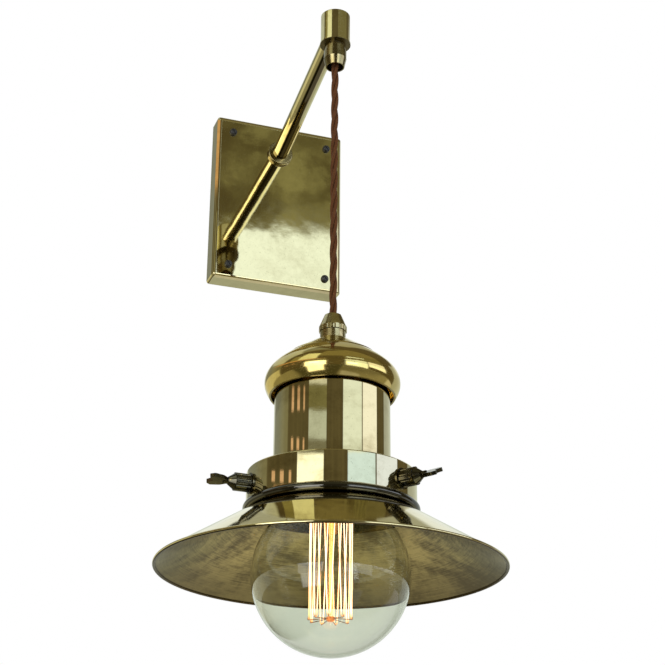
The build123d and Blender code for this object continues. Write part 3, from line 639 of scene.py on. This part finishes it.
def turned_points(outline, columns):
    """An outline of (radius, height) turned about the lamp's axis.

    A point is (radius * cos a, radius * sin a, height), from the axis at the rim's height.
    """
    angle = np.linspace(0.0, math.tau, columns, endpoint=False)
    radius, height = outline[:, 0, None], outline[:, 1, None]
    rings = np.stack([radius * np.cos(angle), radius * np.sin(angle), height + 0.0 * angle], axis=-1)
    return rings.reshape(-1, 3) + AXIS_FOOT


def turned_mesh(name, outline, columns):
    """A turned outline whose first and last points lie on the axis: each is one pole, joined by a fan."""
    rows = len(outline) - 2
    points = np.concatenate([turned_points(outline[1:-1], columns), turned_points(outline[[0, -1]], 1)])
    return smooth_mesh(name, points, [*ring_quads(rows, columns).tolist(), *end_fans(rows, columns)])


def turned_ring(name, outline, columns):
    """A turned closed outline clear of the axis: its last ring joins its first, and edges stay crisp."""
    points = turned_points(outline, columns)
    faces = ring_quads(len(outline) + 1, columns) % len(points)
    mesh = smooth_mesh(name, points, faces.tolist())
    mesh.set_sharp_from_angle(angle=math.radians(40.0))
    return mesh


def route_points(controls):
    """Points read along a smooth open spline through a short list of control points."""
    curve = bpy.data.curves.new("flex_route", "CURVE")
    curve.dimensions = "3D"
    curve.resolution_u = 200
    spline = curve.splines.new("NURBS")
    spline.points.add(len(controls) - 1)
    spline.points.foreach_set("co", np.c_[controls, np.ones(len(controls))].reshape(-1))
    spline.order_u = 3
    spline.use_endpoint_u = True
    holder = added("flex_route", curve)
    bpy.context.view_layer.update()
    line = bpy.data.meshes.new_from_object(holder)
    found = np.zeros(len(line.vertices) * 3)
    line.vertices.foreach_get("co", found)
    bpy.data.objects.remove(holder)
    bpy.data.curves.remove(curve)
    bpy.data.meshes.remove(line)
    return found.reshape(-1, 3)


class WALLLIGHT_OT_stage(bpy.types.Operator):
    """Sets the camera at the photograph's place, with a pale floor, soft lamps and a white surround."""

    bl_idname = "wall_light.stage"
    bl_label = "Set the studio"

    def execute(self, context):
        self.camera(context)
        self.floor()
        self.lamps()
        self.filament_glow()
        self.surround(context)
        context.scene.view_settings.view_transform = "Standard"
        return {"FINISHED"}

    def camera(self, context):
        """A long lens below and to the left of the lamp, looking up at it."""
        data = bpy.data.cameras.new("camera")
        data.lens = SENSOR_WIDTH * FOCAL_PIXELS / FRAME_PIXELS
        data.sensor_width = SENSOR_WIDTH
        data.clip_end = 50.0
        camera = added("camera", data)
        level = np.array([math.cos(CAMERA_YAW), -math.sin(CAMERA_YAW), 0.0])
        out = np.array([math.sin(CAMERA_YAW), math.cos(CAMERA_YAW), 0.0])
        ahead = out * math.cos(CAMERA_PITCH) + np.array([0.0, 0.0, math.sin(CAMERA_PITCH)])
        lift = np.cross(level, ahead)
        right = math.cos(CAMERA_ROLL) * level + math.sin(CAMERA_ROLL) * lift
        up = math.cos(CAMERA_ROLL) * lift - math.sin(CAMERA_ROLL) * level
        camera.matrix_world = self.placed(right, up, -ahead, CAMERA_PLACE)
        context.scene.camera = camera

    @staticmethod
    def placed(right, up, back, place):
        """The matrix of an object with these three directions at this place."""
        matrix = np.eye(4)
        matrix[:3] = np.column_stack([right, up, back, place])
        return Matrix(matrix.tolist())

    def floor(self):
        """A flat disc well below the lamp: a point is (radius * cos a, radius * sin a) at one height.

        It is pale to the eye. Metal sees it pale straight below, dark on the left, dim in front,
        grey-green towards the wall, and lit where daylight falls through two windows.
        """
        top, foot, edge, middle, rings = -0.7, -0.702, 6.0, 0.25, 24
        face = np.c_[np.linspace(edge, middle, rings), np.full(rings, top)]
        outline = np.concatenate([[(0.0, foot), (edge, foot)], face, [(0.0, top)]])
        finish, place = new_finish("pale_floor")
        pale = finish.mix(finish.noise(place, 3.0, 3.0), (0.76, 0.76, 0.74), (0.82, 0.82, 0.80))
        across, depth = finish.part(place, "X"), finish.part(place, "Y")
        far_left = finish.rise(-across, 0.6, 0.9) * finish.rise(depth, -0.6, -0.2)
        behind = finish.rise(across, -0.1, 0.1) * finish.rise(depth, 0.85, 1.0)
        seen = (0.64, 0.64, 0.62)
        for cover, tone in (
            (finish.rise(-depth, 0.25, 0.5), (0.30, 0.28, 0.18)),
            (finish.rise(-depth, 0.8, 2.0), (0.17, 0.155, 0.09)),
            (finish.rise(-across, 0.14, 0.24), (0.06, 0.055, 0.02)),
            (far_left, (0.30, 0.28, 0.17)),
            (behind, (0.44, 0.47, 0.40)),
        ):
            seen = finish.mix(cover, seen, tone)
        reach, angle, _ = finish.around_axis(place)
        turn = angle * DEGREES + 90.0
        for start, stop, near, far, light in (
            (-62.0, -34.0, 1.45, 7.0, 2.4),
            (-5.0, 32.0, 0.55, 1.35, 0.45),
        ):
            daylight = finish.band(turn, start, stop, 3.0) * finish.band(reach, near, far, 0.08)
            seen = finish.mix(daylight, seen, (light, light, light * 0.95))
        glossy = finish.node("ShaderNodeLightPath", out="Is Glossy Ray")
        material = finish.surface(
            Base_Color=finish.mix(glossy, pale, BLACK),
            Roughness=0.7,
            Emission_Color=finish.mix(glossy, BLACK, seen),
            Emission_Strength=1.0,
        )
        material.cycles.emission_sampling = "NONE"
        link("floor", turned_mesh("floor", outline, 64), material)

    @staticmethod
    def lamp(name, kind, power):
        """A new light that shows neither in metal nor through glass."""
        data = bpy.data.lights.new(name, kind)
        data.energy = power
        lamp = added(name, data)
        lamp.visible_glossy = False
        lamp.visible_transmission = False
        return lamp

    def lamps(self):
        """Three broad soft lamps for what isn't metal; metal takes its light from the surround."""
        aim = np.array([0.0, -REACH, -0.2])
        for name, place, size, power in (
            ("key_lamp", (-1.3, -1.7, 0.9), 1.4, 22.0),
            ("fill_lamp", (1.7, -1.2, 0.2), 1.2, 10.0),
            ("top_lamp", (0.2, 0.3, 1.9), 1.6, 14.0),
        ):
            lamp = self.lamp(name, "AREA", power)
            lamp.data.shape = "SQUARE"
            lamp.data.size = size
            back = np.array(place) - aim
            back = back / np.linalg.norm(back)
            side = np.cross([0.0, 0.0, 1.0], back)
            side = side / np.linalg.norm(side)
            lamp.matrix_world = self.placed(side, np.cross(back, side), back, place)

    def filament_glow(self):
        """A small warm light in the middle of the filament, which shows only by what it lights."""
        glow = self.lamp("filament_light", "POINT", 0.3)
        glow.data.color = (1.0, 0.45, 0.14)
        glow.data.shadow_soft_size = 0.012
        glow.location = (0.0, -REACH, RIM_Z - 0.004)
        glow.visible_camera = False

    def surround(self, context):
        """White to the eye, grey-green through glass, a room in metal and soft light on the rest."""
        world = bpy.data.worlds.new("surround")
        context.scene.world = world
        world.cycles.sampling_method = "NONE"
        finish = Finish(world)
        shown = finish.node("ShaderNodeBackground", None, {"Color": rgba(WHITE), "Strength": 0.55})
        for ray, tone in (
            ("Is Glossy Ray", self.room(finish)),
            ("Is Transmission Ray", (0.74, 0.79, 0.67)),
            ("Is Camera Ray", WHITE),
        ):
            light = finish.node("ShaderNodeBackground", None, {"Color": rgba(tone), "Strength": 1.0})
            asked = finish.node("ShaderNodeLightPath", out=ray)
            shown = finish.node("ShaderNodeMixShader", None, {0: asked, 1: shown, 2: light})
        finish.node("ShaderNodeOutputWorld", None, {"Surface": shown})

    def room(self, finish):
        """The room that metal mirrors: dim, with tall daylight panels, each laid over the ones before it.

        A direction is its azimuth, in degrees from the front towards the right, and its elevation.
        """
        way = finish.node("ShaderNodeTexCoord", out="Generated")
        turn = finish.maths("ARCTAN2", finish.part(way, "X"), -finish.part(way, "Y")) * DEGREES
        lift = finish.maths("ARCSINE", finish.part(way, "Z")) * DEGREES
        mottle = finish.noise(way, 9.0, 4.0, 0.6)
        tone = finish.mix(mottle, (0.085, 0.070, 0.036), (0.165, 0.140, 0.072))
        tone = self.windows(finish, turn, lift, mottle, tone)
        tone = self.plaster(finish, turn, lift, way, tone)
        tone = self.walls(finish, turn, lift, mottle, tone)
        return self.panels(finish, turn, lift, tone)

    @staticmethod
    def windows(finish, turn, lift, mottle, tone):
        """Two tall windows at the right of the front, brightest at the foot, under a paler wall."""
        below = 1.0 - finish.rise(lift + (mottle - 0.5) * 2.0, 26.4, 27.6)
        tone = finish.mix(finish.band(turn, 1.5, 80.0, 1.5) * (1.0 - below), tone, (0.21, 0.195, 0.100))
        high = finish.rise(lift, 18.35, 18.5)
        low = 1.0 - finish.rise(lift, 16.2, 16.6)
        pane = finish.mix(high, (0.88, 1.17, 1.62), (1.02, 1.17, 1.28))
        pane = finish.mix(finish.rise(lift, 21.0, 25.0), pane, (1.20, 1.40, 1.60))
        pane = finish.mix(low, pane, (1.55, 1.75, 1.90))
        tone = finish.mix(finish.band(turn, 2.0, 41.0, 1.5) * below, tone, pane)
        pane = finish.mix(high, (1.03, 1.19, 1.72), (1.24, 1.30, 1.46))
        pane = finish.mix(low, pane, (1.60, 1.70, 1.85))
        sill = finish.rise(lift, 2.0, 5.0)
        return finish.mix(finish.band(turn, 43.0, 79.0, 1.5) * below * sill, tone, pane)

    @staticmethod
    def plaster(finish, turn, lift, way, tone):
        """Patchy plaster high above the first window, with a bright slanting strip along its foot."""
        patch = finish.noise(way, 42.0, 5.0, 0.6)
        wall = finish.band(turn, 6.0, 40.0, 2.0) * finish.rise(lift, 36.8, 37.4)
        coat = finish.mix(finish.rise(patch, 0.36, 0.64), (0.10, 0.085, 0.036), (0.29, 0.28, 0.135))
        coat = finish.mix(0.6 - finish.rise(turn, 16.5, 19.0) * 0.6, coat, (0.095, 0.074, 0.034))
        tone = finish.mix(wall, tone, coat)
        strip = 1.0 - finish.rise(lift + patch * 0.5 + turn * 0.08, 42.6, 43.0)
        return finish.mix(wall * strip, tone, (1.20, 1.40, 1.60))

    @staticmethod
    def walls(finish, turn, lift, mottle, tone):
        """Walls at the left and behind: a lit foot on the left, and paler bands low and high behind."""
        side = finish.mix(finish.rise(turn, -150.0, -118.0), (0.21, 0.23, 0.21), (0.26, 0.25, 0.16))
        unlit = finish.rise(lift, 13.0, 15.0) * 0.9 + finish.rise(turn, -134.0, -124.0) * 0.1
        side = finish.mix(unlit, (0.72, 0.70, 0.48), side)
        tone = finish.mix(finish.band(turn, -176.0, -116.0, 4.0), tone, side)
        upper = finish.band(lift, 33.0, 64.0, 3.0)
        tone = finish.mix(upper * finish.rise(turn, 140.0, 146.0), tone, (0.42, 0.42, 0.30))
        tone = finish.mix(upper * (1.0 - finish.rise(turn, -122.0, -112.0)), tone, (0.62, 0.68, 0.66))
        far = finish.mix(finish.rise(lift, 21.0, 25.0), (0.68, 0.73, 0.64), (0.92, 0.97, 0.93))
        back = finish.mix(finish.rise(turn, 104.0, 150.0), (0.46, 0.50, 0.50), far)
        uneven = lift + (mottle - 0.5) * 3.0
        middle = 1.0 - finish.rise(uneven, 33.0, 35.5)
        low = 1.0 - finish.rise(uneven, 28.0, 32.0)
        tone = finish.mix(finish.rise(turn, 102.0, 105.0) * middle, tone, back)
        return finish.mix((1.0 - finish.rise(turn, -178.0, -172.0)) * low, tone, (0.80, 0.84, 0.80))

    @staticmethod
    def panels(finish, turn, lift, tone):
        """Lit panels and bars, each a range of azimuth, a range of elevation and a colour."""
        for start, stop, low, high, light in (
            (-48.0, 80.0, 46.0, 80.0, (0.26, 0.235, 0.12)),
            (-66.0, -30.0, -12.0, 16.6, (2.80, 2.80, 2.70)),
            (-66.0, -30.0, 16.6, 18.4, (1.70, 1.80, 1.80)),
            (-66.0, -30.0, 18.4, 18.95, (0.25, 0.25, 0.19)),
            (-66.0, -30.0, 18.95, 20.05, (0.62, 0.70, 0.70)),
            (-66.0, -30.0, 20.05, 21.0, (0.24, 0.23, 0.11)),
            (-66.0, -30.0, 21.0, 21.35, (0.95, 1.00, 0.95)),
            (-66.0, -30.0, 21.35, 27.6, (0.30, 0.29, 0.16)),
            (-84.0, -48.0, 31.8, 62.0, (1.00, 1.06, 0.80)),
            (-102.0, -84.0, 31.8, 50.0, (0.32, 0.30, 0.13)),
            (-102.5, -82.0, 16.6, 17.10, (0.75, 0.45, 0.25)),
            (-58.0, -42.0, 4.0, 16.0, (4.0, 4.1, 3.9)),
            (4.0, 22.0, 2.0, 10.0, (3.4, 3.5, 3.4)),
        ):
            spot = finish.band(turn, start, stop, 1.5) * finish.band(lift, low, high, 0.2)
            tone = finish.mix(spot, tone, light)
        amber = finish.band(turn, -135.0, -45.0, 36.0) * finish.band(lift, 28.3, 31.6, 1.2)
        tone = finish.mix(amber, tone, (0.82, 0.49, 0.24))
        for start, stop in ((-106.5, -100.5), (-92.0, -86.0), (-78.0, -74.5)):
            bar = finish.band(turn, start, stop, 1.5)
            for low, high in ((17.25, 17.7), (18.5, 18.95), (20.0, 20.9)):
                tone = finish.mix(bar * finish.band(lift, low, high, 0.1), tone, (0.85, 0.56, 0.38))
        return tone


class WALLLIGHT_OT_flex(bpy.types.Operator):
    """Twists three braided strands along the flex's straight run."""

    bl_idname = "wall_light.flex"
    bl_label = "Twist the flex"

    def execute(self, context):
        sizes = context.scene.wall_light_sizes
        top, low = RIM_Z + sizes.flex_top, RIM_Z + sizes.flex_low
        path = route_points(np.array([(0.0, -REACH, z) for z in np.linspace(top, low, 4)]))
        # Three equal circles that touch each other just fit a circle this many times as large.
        strand = sizes.flex_radius / (1.0 + 2.0 / math.sqrt(3.0))
        tubes = [self.strand(path, sizes, strand, math.tau * number / 3) for number in range(3)]
        flex = link("flex_strands", self.joined(tubes), braided_fabric("brown_braid"))
        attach(flex, "flex")
        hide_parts("flex", "flex_bend")
        length = top - low
        travel = next(joint["range_m"][1] for joint in frame["joints"] if joint["name"] == "drop_adjust")
        1.0 - travel / length
        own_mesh(flex)
        dress(smooth_braid("inner_braid"), "flex_feed", "flex_tail")
        return {"FINISHED"}

    @staticmethod
    def strand(path, sizes, radius, phase, columns=18):
        """One strand: a circle carried along a helix round the path.

        The helix turns by the length run over the lay, against the clock going down. A point is the
        helix's own point plus radius * (cos b * outward + sin b * sideways).
        """
        run = np.r_[0.0, np.cumsum(np.linalg.norm(np.diff(path, axis=0), axis=1))]
        turn = phase - math.tau * run / sizes.flex_lay
        out = np.stack([np.cos(turn), np.sin(turn), np.zeros_like(turn)], axis=-1)
        centre = path + (sizes.flex_radius - radius) * out
        ahead = np.gradient(centre, axis=0)
        ahead /= np.linalg.norm(ahead, axis=1)[:, None]
        side = np.cross(ahead, out)
        angle = np.linspace(0.0, math.tau, columns, endpoint=False)[None, :, None]
        circle = np.cos(angle) * out[:, None, :] + np.sin(angle) * side[:, None, :]
        return centre[:, None, :] + radius * circle, centre, run

    @staticmethod
    def joined(tubes):
        """The tubes as one mesh, closed by fans at their ends; the map holds turns round and length run."""
        points, faces, maps, start = [], [], [], 0
        for rings, centre, run in tubes:
            rows, columns = rings.shape[:2]
            points += [rings.reshape(-1, 3), centre[:1], centre[-1:]]
            faces += ring_quads(rows, columns, start).tolist()
            faces += end_fans(rows, columns, start)
            row, column = np.meshgrid(np.arange(rows - 1), np.arange(columns), indexing="ij")
            around = np.stack([column, column + 1, column + 1, column], axis=-1) / columns
            along = np.stack([run[row], run[row], run[row + 1], run[row + 1]], axis=-1)
            maps.append(np.stack([around, along], axis=-1).reshape(-1, 2))
            step = np.arange(columns)
            fan = np.stack([step + 0.5, step + 1.0, step], axis=-1) / columns
            for end in (run[0], run[-1]):
                maps.append(np.stack([fan, np.full_like(fan, end)], axis=-1).reshape(-1, 2))
            start += rows * columns + 2
        mesh = smooth_mesh("flex_strands", np.concatenate(points), faces)
        mesh.uv_layers.new(name="Strand").data.foreach_set("uv", np.concatenate(maps).reshape(-1))
        return mesh


class WALLLIGHT_OT_plate(bpy.types.Operator):
    """Finishes the wall plate, its screws, the arm and the end block."""

    bl_idname = "wall_light.plate"
    bl_label = "Finish the plate and arm"

    def execute(self, context):
        brass = palette().brass
        plate = aged_brass(
            "plate_brass", brass, cover=(0.44, 0.70), rough=(0.02, 0.06), grain=(9.0, 9.0, 15.0),
            shift=3.0, ripple=0.00008, turned=False, deep=0.35, lean=0.13,
        )
        # The flange is the plate and arm's brass darkened to 0.32 as painted shade.
        flange = aged_brass(
            "flange_brass", shaded(brass, 0.32), cover=(0.30, 0.55), rough=(0.10, 0.20),
            grain=(60.0, 60.0, 60.0), shift=8.0,
        )
        arm = aged_brass(
            "arm_brass", brass, cover=(0.46, 0.74), rough=(0.05, 0.14), grain=(34.0, 12.0, 30.0),
            shift=7.0, turned=False, arm=True,
        )
        # The block's band at 0.4788, along its lower edge, is painted shade on its underside.
        block = aged_brass(
            "block_brass", brass, cover=(0.44, 0.70), rough=(0.06, 0.16), grain=(40.0, 40.0, 30.0),
            shift=2.0, soot_and_shade_bands=((0.4788, 0.0005),),
        )
        dress(plate, "back_plate")
        dress(flange, "arm_flange")
        dress(arm, "arm_tube")
        dress(block, "end_block", "end_lid")
        dress(dull_black("screw_black"), "wall_screws")
        return {"FINISHED"}


class WALLLIGHT_OT_grips(bpy.types.Operator):
    """Finishes both cord grips."""

    bl_idname = "wall_light.grips"
    bl_label = "Finish the cord grips"

    def execute(self, context):
        brass = palette().brass
        # The upper grip is the same brass as the lower one, darkened to 0.38 against 0.86 as painted shade.
        for name, level, pieces in (
            ("upper_grip_brass", 0.38, ("upper_grip_body", "upper_grip_nut")),
            ("lower_grip_brass", 0.86, ("lower_grip_body", "lower_grip_nut")),
        ):
            grip = aged_brass(
                name, shaded(brass, level), cover=(0.34, 0.58), rough=(0.10, 0.22),
                grain=(70.0, 70.0, 70.0), shift=1.0,
            )
            dress(grip, *pieces)
        dress(dull_black("insert_black"), "upper_grip_insert", "lower_grip_insert")
        return {"FINISHED"}


class WALLLIGHT_OT_body(bpy.types.Operator):
    """Finishes the dome, neck, gallery, bead and thumbscrews."""

    bl_idname = "wall_light.body"
    bl_label = "Finish the lamp body"

    def execute(self, context):
        colours = palette()
        # The dome's band at 0.1411, at its lip, is painted shade under the lip.
        dome = aged_brass(
            "dome_brass", colours.gold, cover=(0.46, 0.74), rough=(0.09, 0.17), grain=(18.0, 18.0, 40.0),
            shift=4.0, soot_and_shade_bands=((0.1411, 0.0010),), deep=0.5,
        )
        neck = aged_brass(
            "neck_brass", colours.brass, cover=(0.44, 0.70), rough=(0.004, 0.02),
            grain=(13.0, 13.0, 30.0), shift=9.0, ripple=0.00003, soot_and_shade_bands=((0.0768, 0.0010),),
        )
        gallery = aged_brass(
            "gallery_brass", colours.brass, cover=(0.45, 0.72), rough=(0.004, 0.02),
            grain=(14.0, 14.0, 36.0), shift=5.0, ripple=0.00002, soot_and_shade_bands=((0.0500, 0.0009),),
        )
        dress(dome, "dome")
        dress(neck, "neck_sleeve")
        dress(gallery, "gallery")
        dress(black_gloss("bead_black"), "gallery_bead")
        screws = [f"thumbscrew_{number}" for number in (1, 2, 3)]
        dress(darkened_brass("fitting_black"), "screw_bosses", *screws)
        return {"FINISHED"}


class WALLLIGHT_OT_shade(bpy.types.Operator):
    """Spins the shade as one smooth sheet with a rolled rim, bright above, brushed and darkened by painted
    shade below.
    """

    bl_idname = "wall_light.shade"
    bl_label = "Spin the shade"

    def execute(self, context):
        mesh = self.spun(context.scene.wall_light_sizes)
        shade = link("shade_sheet", mesh, shade_brass("shade_brass"))
        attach(shade, "pendant")
        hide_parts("shade")
        return {"FINISHED"}

    @staticmethod
    def spun(sizes):
        """The rim's round section from the cone's inside to its outside, then the neck and lip and back.

        A point of the cone's outside has the height mouth - slope * (radius - neck).
        """
        slope, neck, mouth = sizes.shade_slope, sizes.shade_neck, sizes.shade_mouth
        wire, sheet, top = sizes.shade_wire, sizes.shade_sheet, sizes.shade_top
        edge, inner, ledge = sizes.shade_rim - wire, neck - sheet, top - sizes.shade_ledge
        drop = sheet * math.hypot(1.0, slope)
        tilt, half = math.atan(slope), math.asin(sheet / (2.0 * wire))
        turn = np.linspace(math.pi - tilt + half, 3.0 * math.pi - tilt - half, 48)
        middle = mouth - slope * (edge - neck) - drop / 2.0
        rim = np.c_[edge + wire * np.cos(turn), middle + wire * np.sin(turn)]
        body = [
            (neck, mouth),
            (neck, ledge),
            (sizes.shade_lip, ledge),
            (sizes.shade_lip, top),
            (inner, top),
            (inner, mouth + slope * sheet - drop),
        ]
        return turned_ring("shade_sheet", np.concatenate([rim, body]), 240)


class WALLLIGHT_OT_globe(bpy.types.Operator):
    """Blows the globe as one smooth surface and lights its filament."""

    bl_idname = "wall_light.globe"
    bl_label = "Blow the globe"

    def execute(self, context):
        mesh = self.blown(context.scene.wall_light_sizes)
        globe = link("globe_glass", mesh, clear_glass("globe_glass", palette().glass))
        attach(globe, "bulb")
        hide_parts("globe")
        dress(stem_glass_painted_glow("stem_glass_painted_glow"), "lamp_stem")
        dress(lit_wire("filament_lit"), "filament")
        dress(dull_wire("support_wire"), "lamp_supports")
        dress(contact_brass("cap_brass", 2.0), "lamp_cap", "lamp_contact")
        dress(dull_black("cap_insulator"), "lamp_insulator")
        return {"FINISHED"}

    @staticmethod
    def blown(sizes):
        """The glass wall: its outer outline from the ball's foot to the neck, then its inner one back."""
        outer = WALLLIGHT_OT_globe.outline(sizes, 0.0)
        inner = WALLLIGHT_OT_globe.outline(sizes, sizes.glass_wall)
        return turned_mesh("globe_glass", np.concatenate([outer, inner[::-1]]), 160)

    @staticmethod
    def outline(sizes, inset):
        """Ball arc, then a hollow arc into the neck, then the taper and the sleeve inside the cap."""
        ball, blend = sizes.globe_radius - inset, sizes.globe_blend + inset
        neck, seal = sizes.globe_neck - inset, sizes.globe_seal - inset
        across = neck + blend
        rise = math.sqrt((ball + blend) ** 2 - across**2)
        meet = math.atan2(across, rise)
        turn = np.linspace(math.pi, meet, 140)
        arc = np.c_[ball * np.sin(turn), sizes.globe_height + ball * np.cos(turn)]
        arc[0, 0] = 0.0
        bend = np.linspace(1.5 * math.pi - meet, math.pi, 28)[1:]
        hollow = np.c_[across + blend * np.cos(bend), sizes.globe_height + rise + blend * np.sin(bend)]
        # Heights of the taper and the sleeve, from the cap's foot.
        collar = [(neck, -0.0075), (neck, -0.0070), (seal, -0.0010), (seal, -0.0004), (seal, 0.0070)]
        sleeve = [(radius, sizes.cap_low + height) for radius, height in collar]
        return np.concatenate([arc, hollow, sleeve])


class WALLLIGHT_OT_inside(bpy.types.Operator):
    """Finishes what sits inside the plate, the neck and the holder."""

    bl_idname = "wall_light.inside"
    bl_label = "Finish the inner pieces"

    def execute(self, context):
        steel = plated_steel("zinc_steel")
        dress(steel, "arm_washer", "arm_nut", "connector_screws")
        dress(steel, "threaded_tube", "dome_nut", "strap", "strap_nuts")
        dress(glazed_white("glazed_core"), "connector", "holder_core")
        dress(dull_black("holder_black"), "holder_cap", "holder_skirt")
        dress(contact_brass("shell_brass", 6.0), "holder_shell", "holder_contact")
        dress(sheath("core_brown"), "supply_cores")
        return {"FINISHED"}


OPERATORS = (
    WALLLIGHT_OT_stage,
    WALLLIGHT_OT_flex,
    WALLLIGHT_OT_plate,
    WALLLIGHT_OT_grips,
    WALLLIGHT_OT_body,
    WALLLIGHT_OT_shade,
    WALLLIGHT_OT_globe,
    WALLLIGHT_OT_inside,
)


class WALLLIGHT_PT_panel(bpy.types.Panel):
    """Lists the steps that dress the wall light."""

    bl_idname = "WALLLIGHT_PT_panel"
    bl_label = "Wall light"
    bl_space_type = "VIEW_3D"
    bl_region_type = "UI"
    bl_category = "Wall light"

    def draw(self, context):
        for operator in OPERATORS:
            self.layout.operator(operator.bl_idname)


CLASSES = (WallLightSizes, WallLightColours, *OPERATORS, WALLLIGHT_PT_panel)


def register():
    for cls in CLASSES:
        bpy.utils.register_class(cls)
    bpy.types.Scene.wall_light_sizes = bpy.props.PointerProperty(type=WallLightSizes)
    bpy.types.Scene.wall_light_colours = bpy.props.PointerProperty(type=WallLightColours)


def unregister():
    del bpy.types.Scene.wall_light_colours
    del bpy.types.Scene.wall_light_sizes
    for cls in reversed(CLASSES):
        bpy.utils.unregister_class(cls)


def main():
    register()
    bpy.ops.wall_light.stage()
    bpy.ops.wall_light.flex()
    bpy.ops.wall_light.plate()
    bpy.ops.wall_light.grips()
    bpy.ops.wall_light.body()
    bpy.ops.wall_light.shade()
    bpy.ops.wall_light.globe()
    bpy.ops.wall_light.inside()


if __name__ == "__main__":
    main()
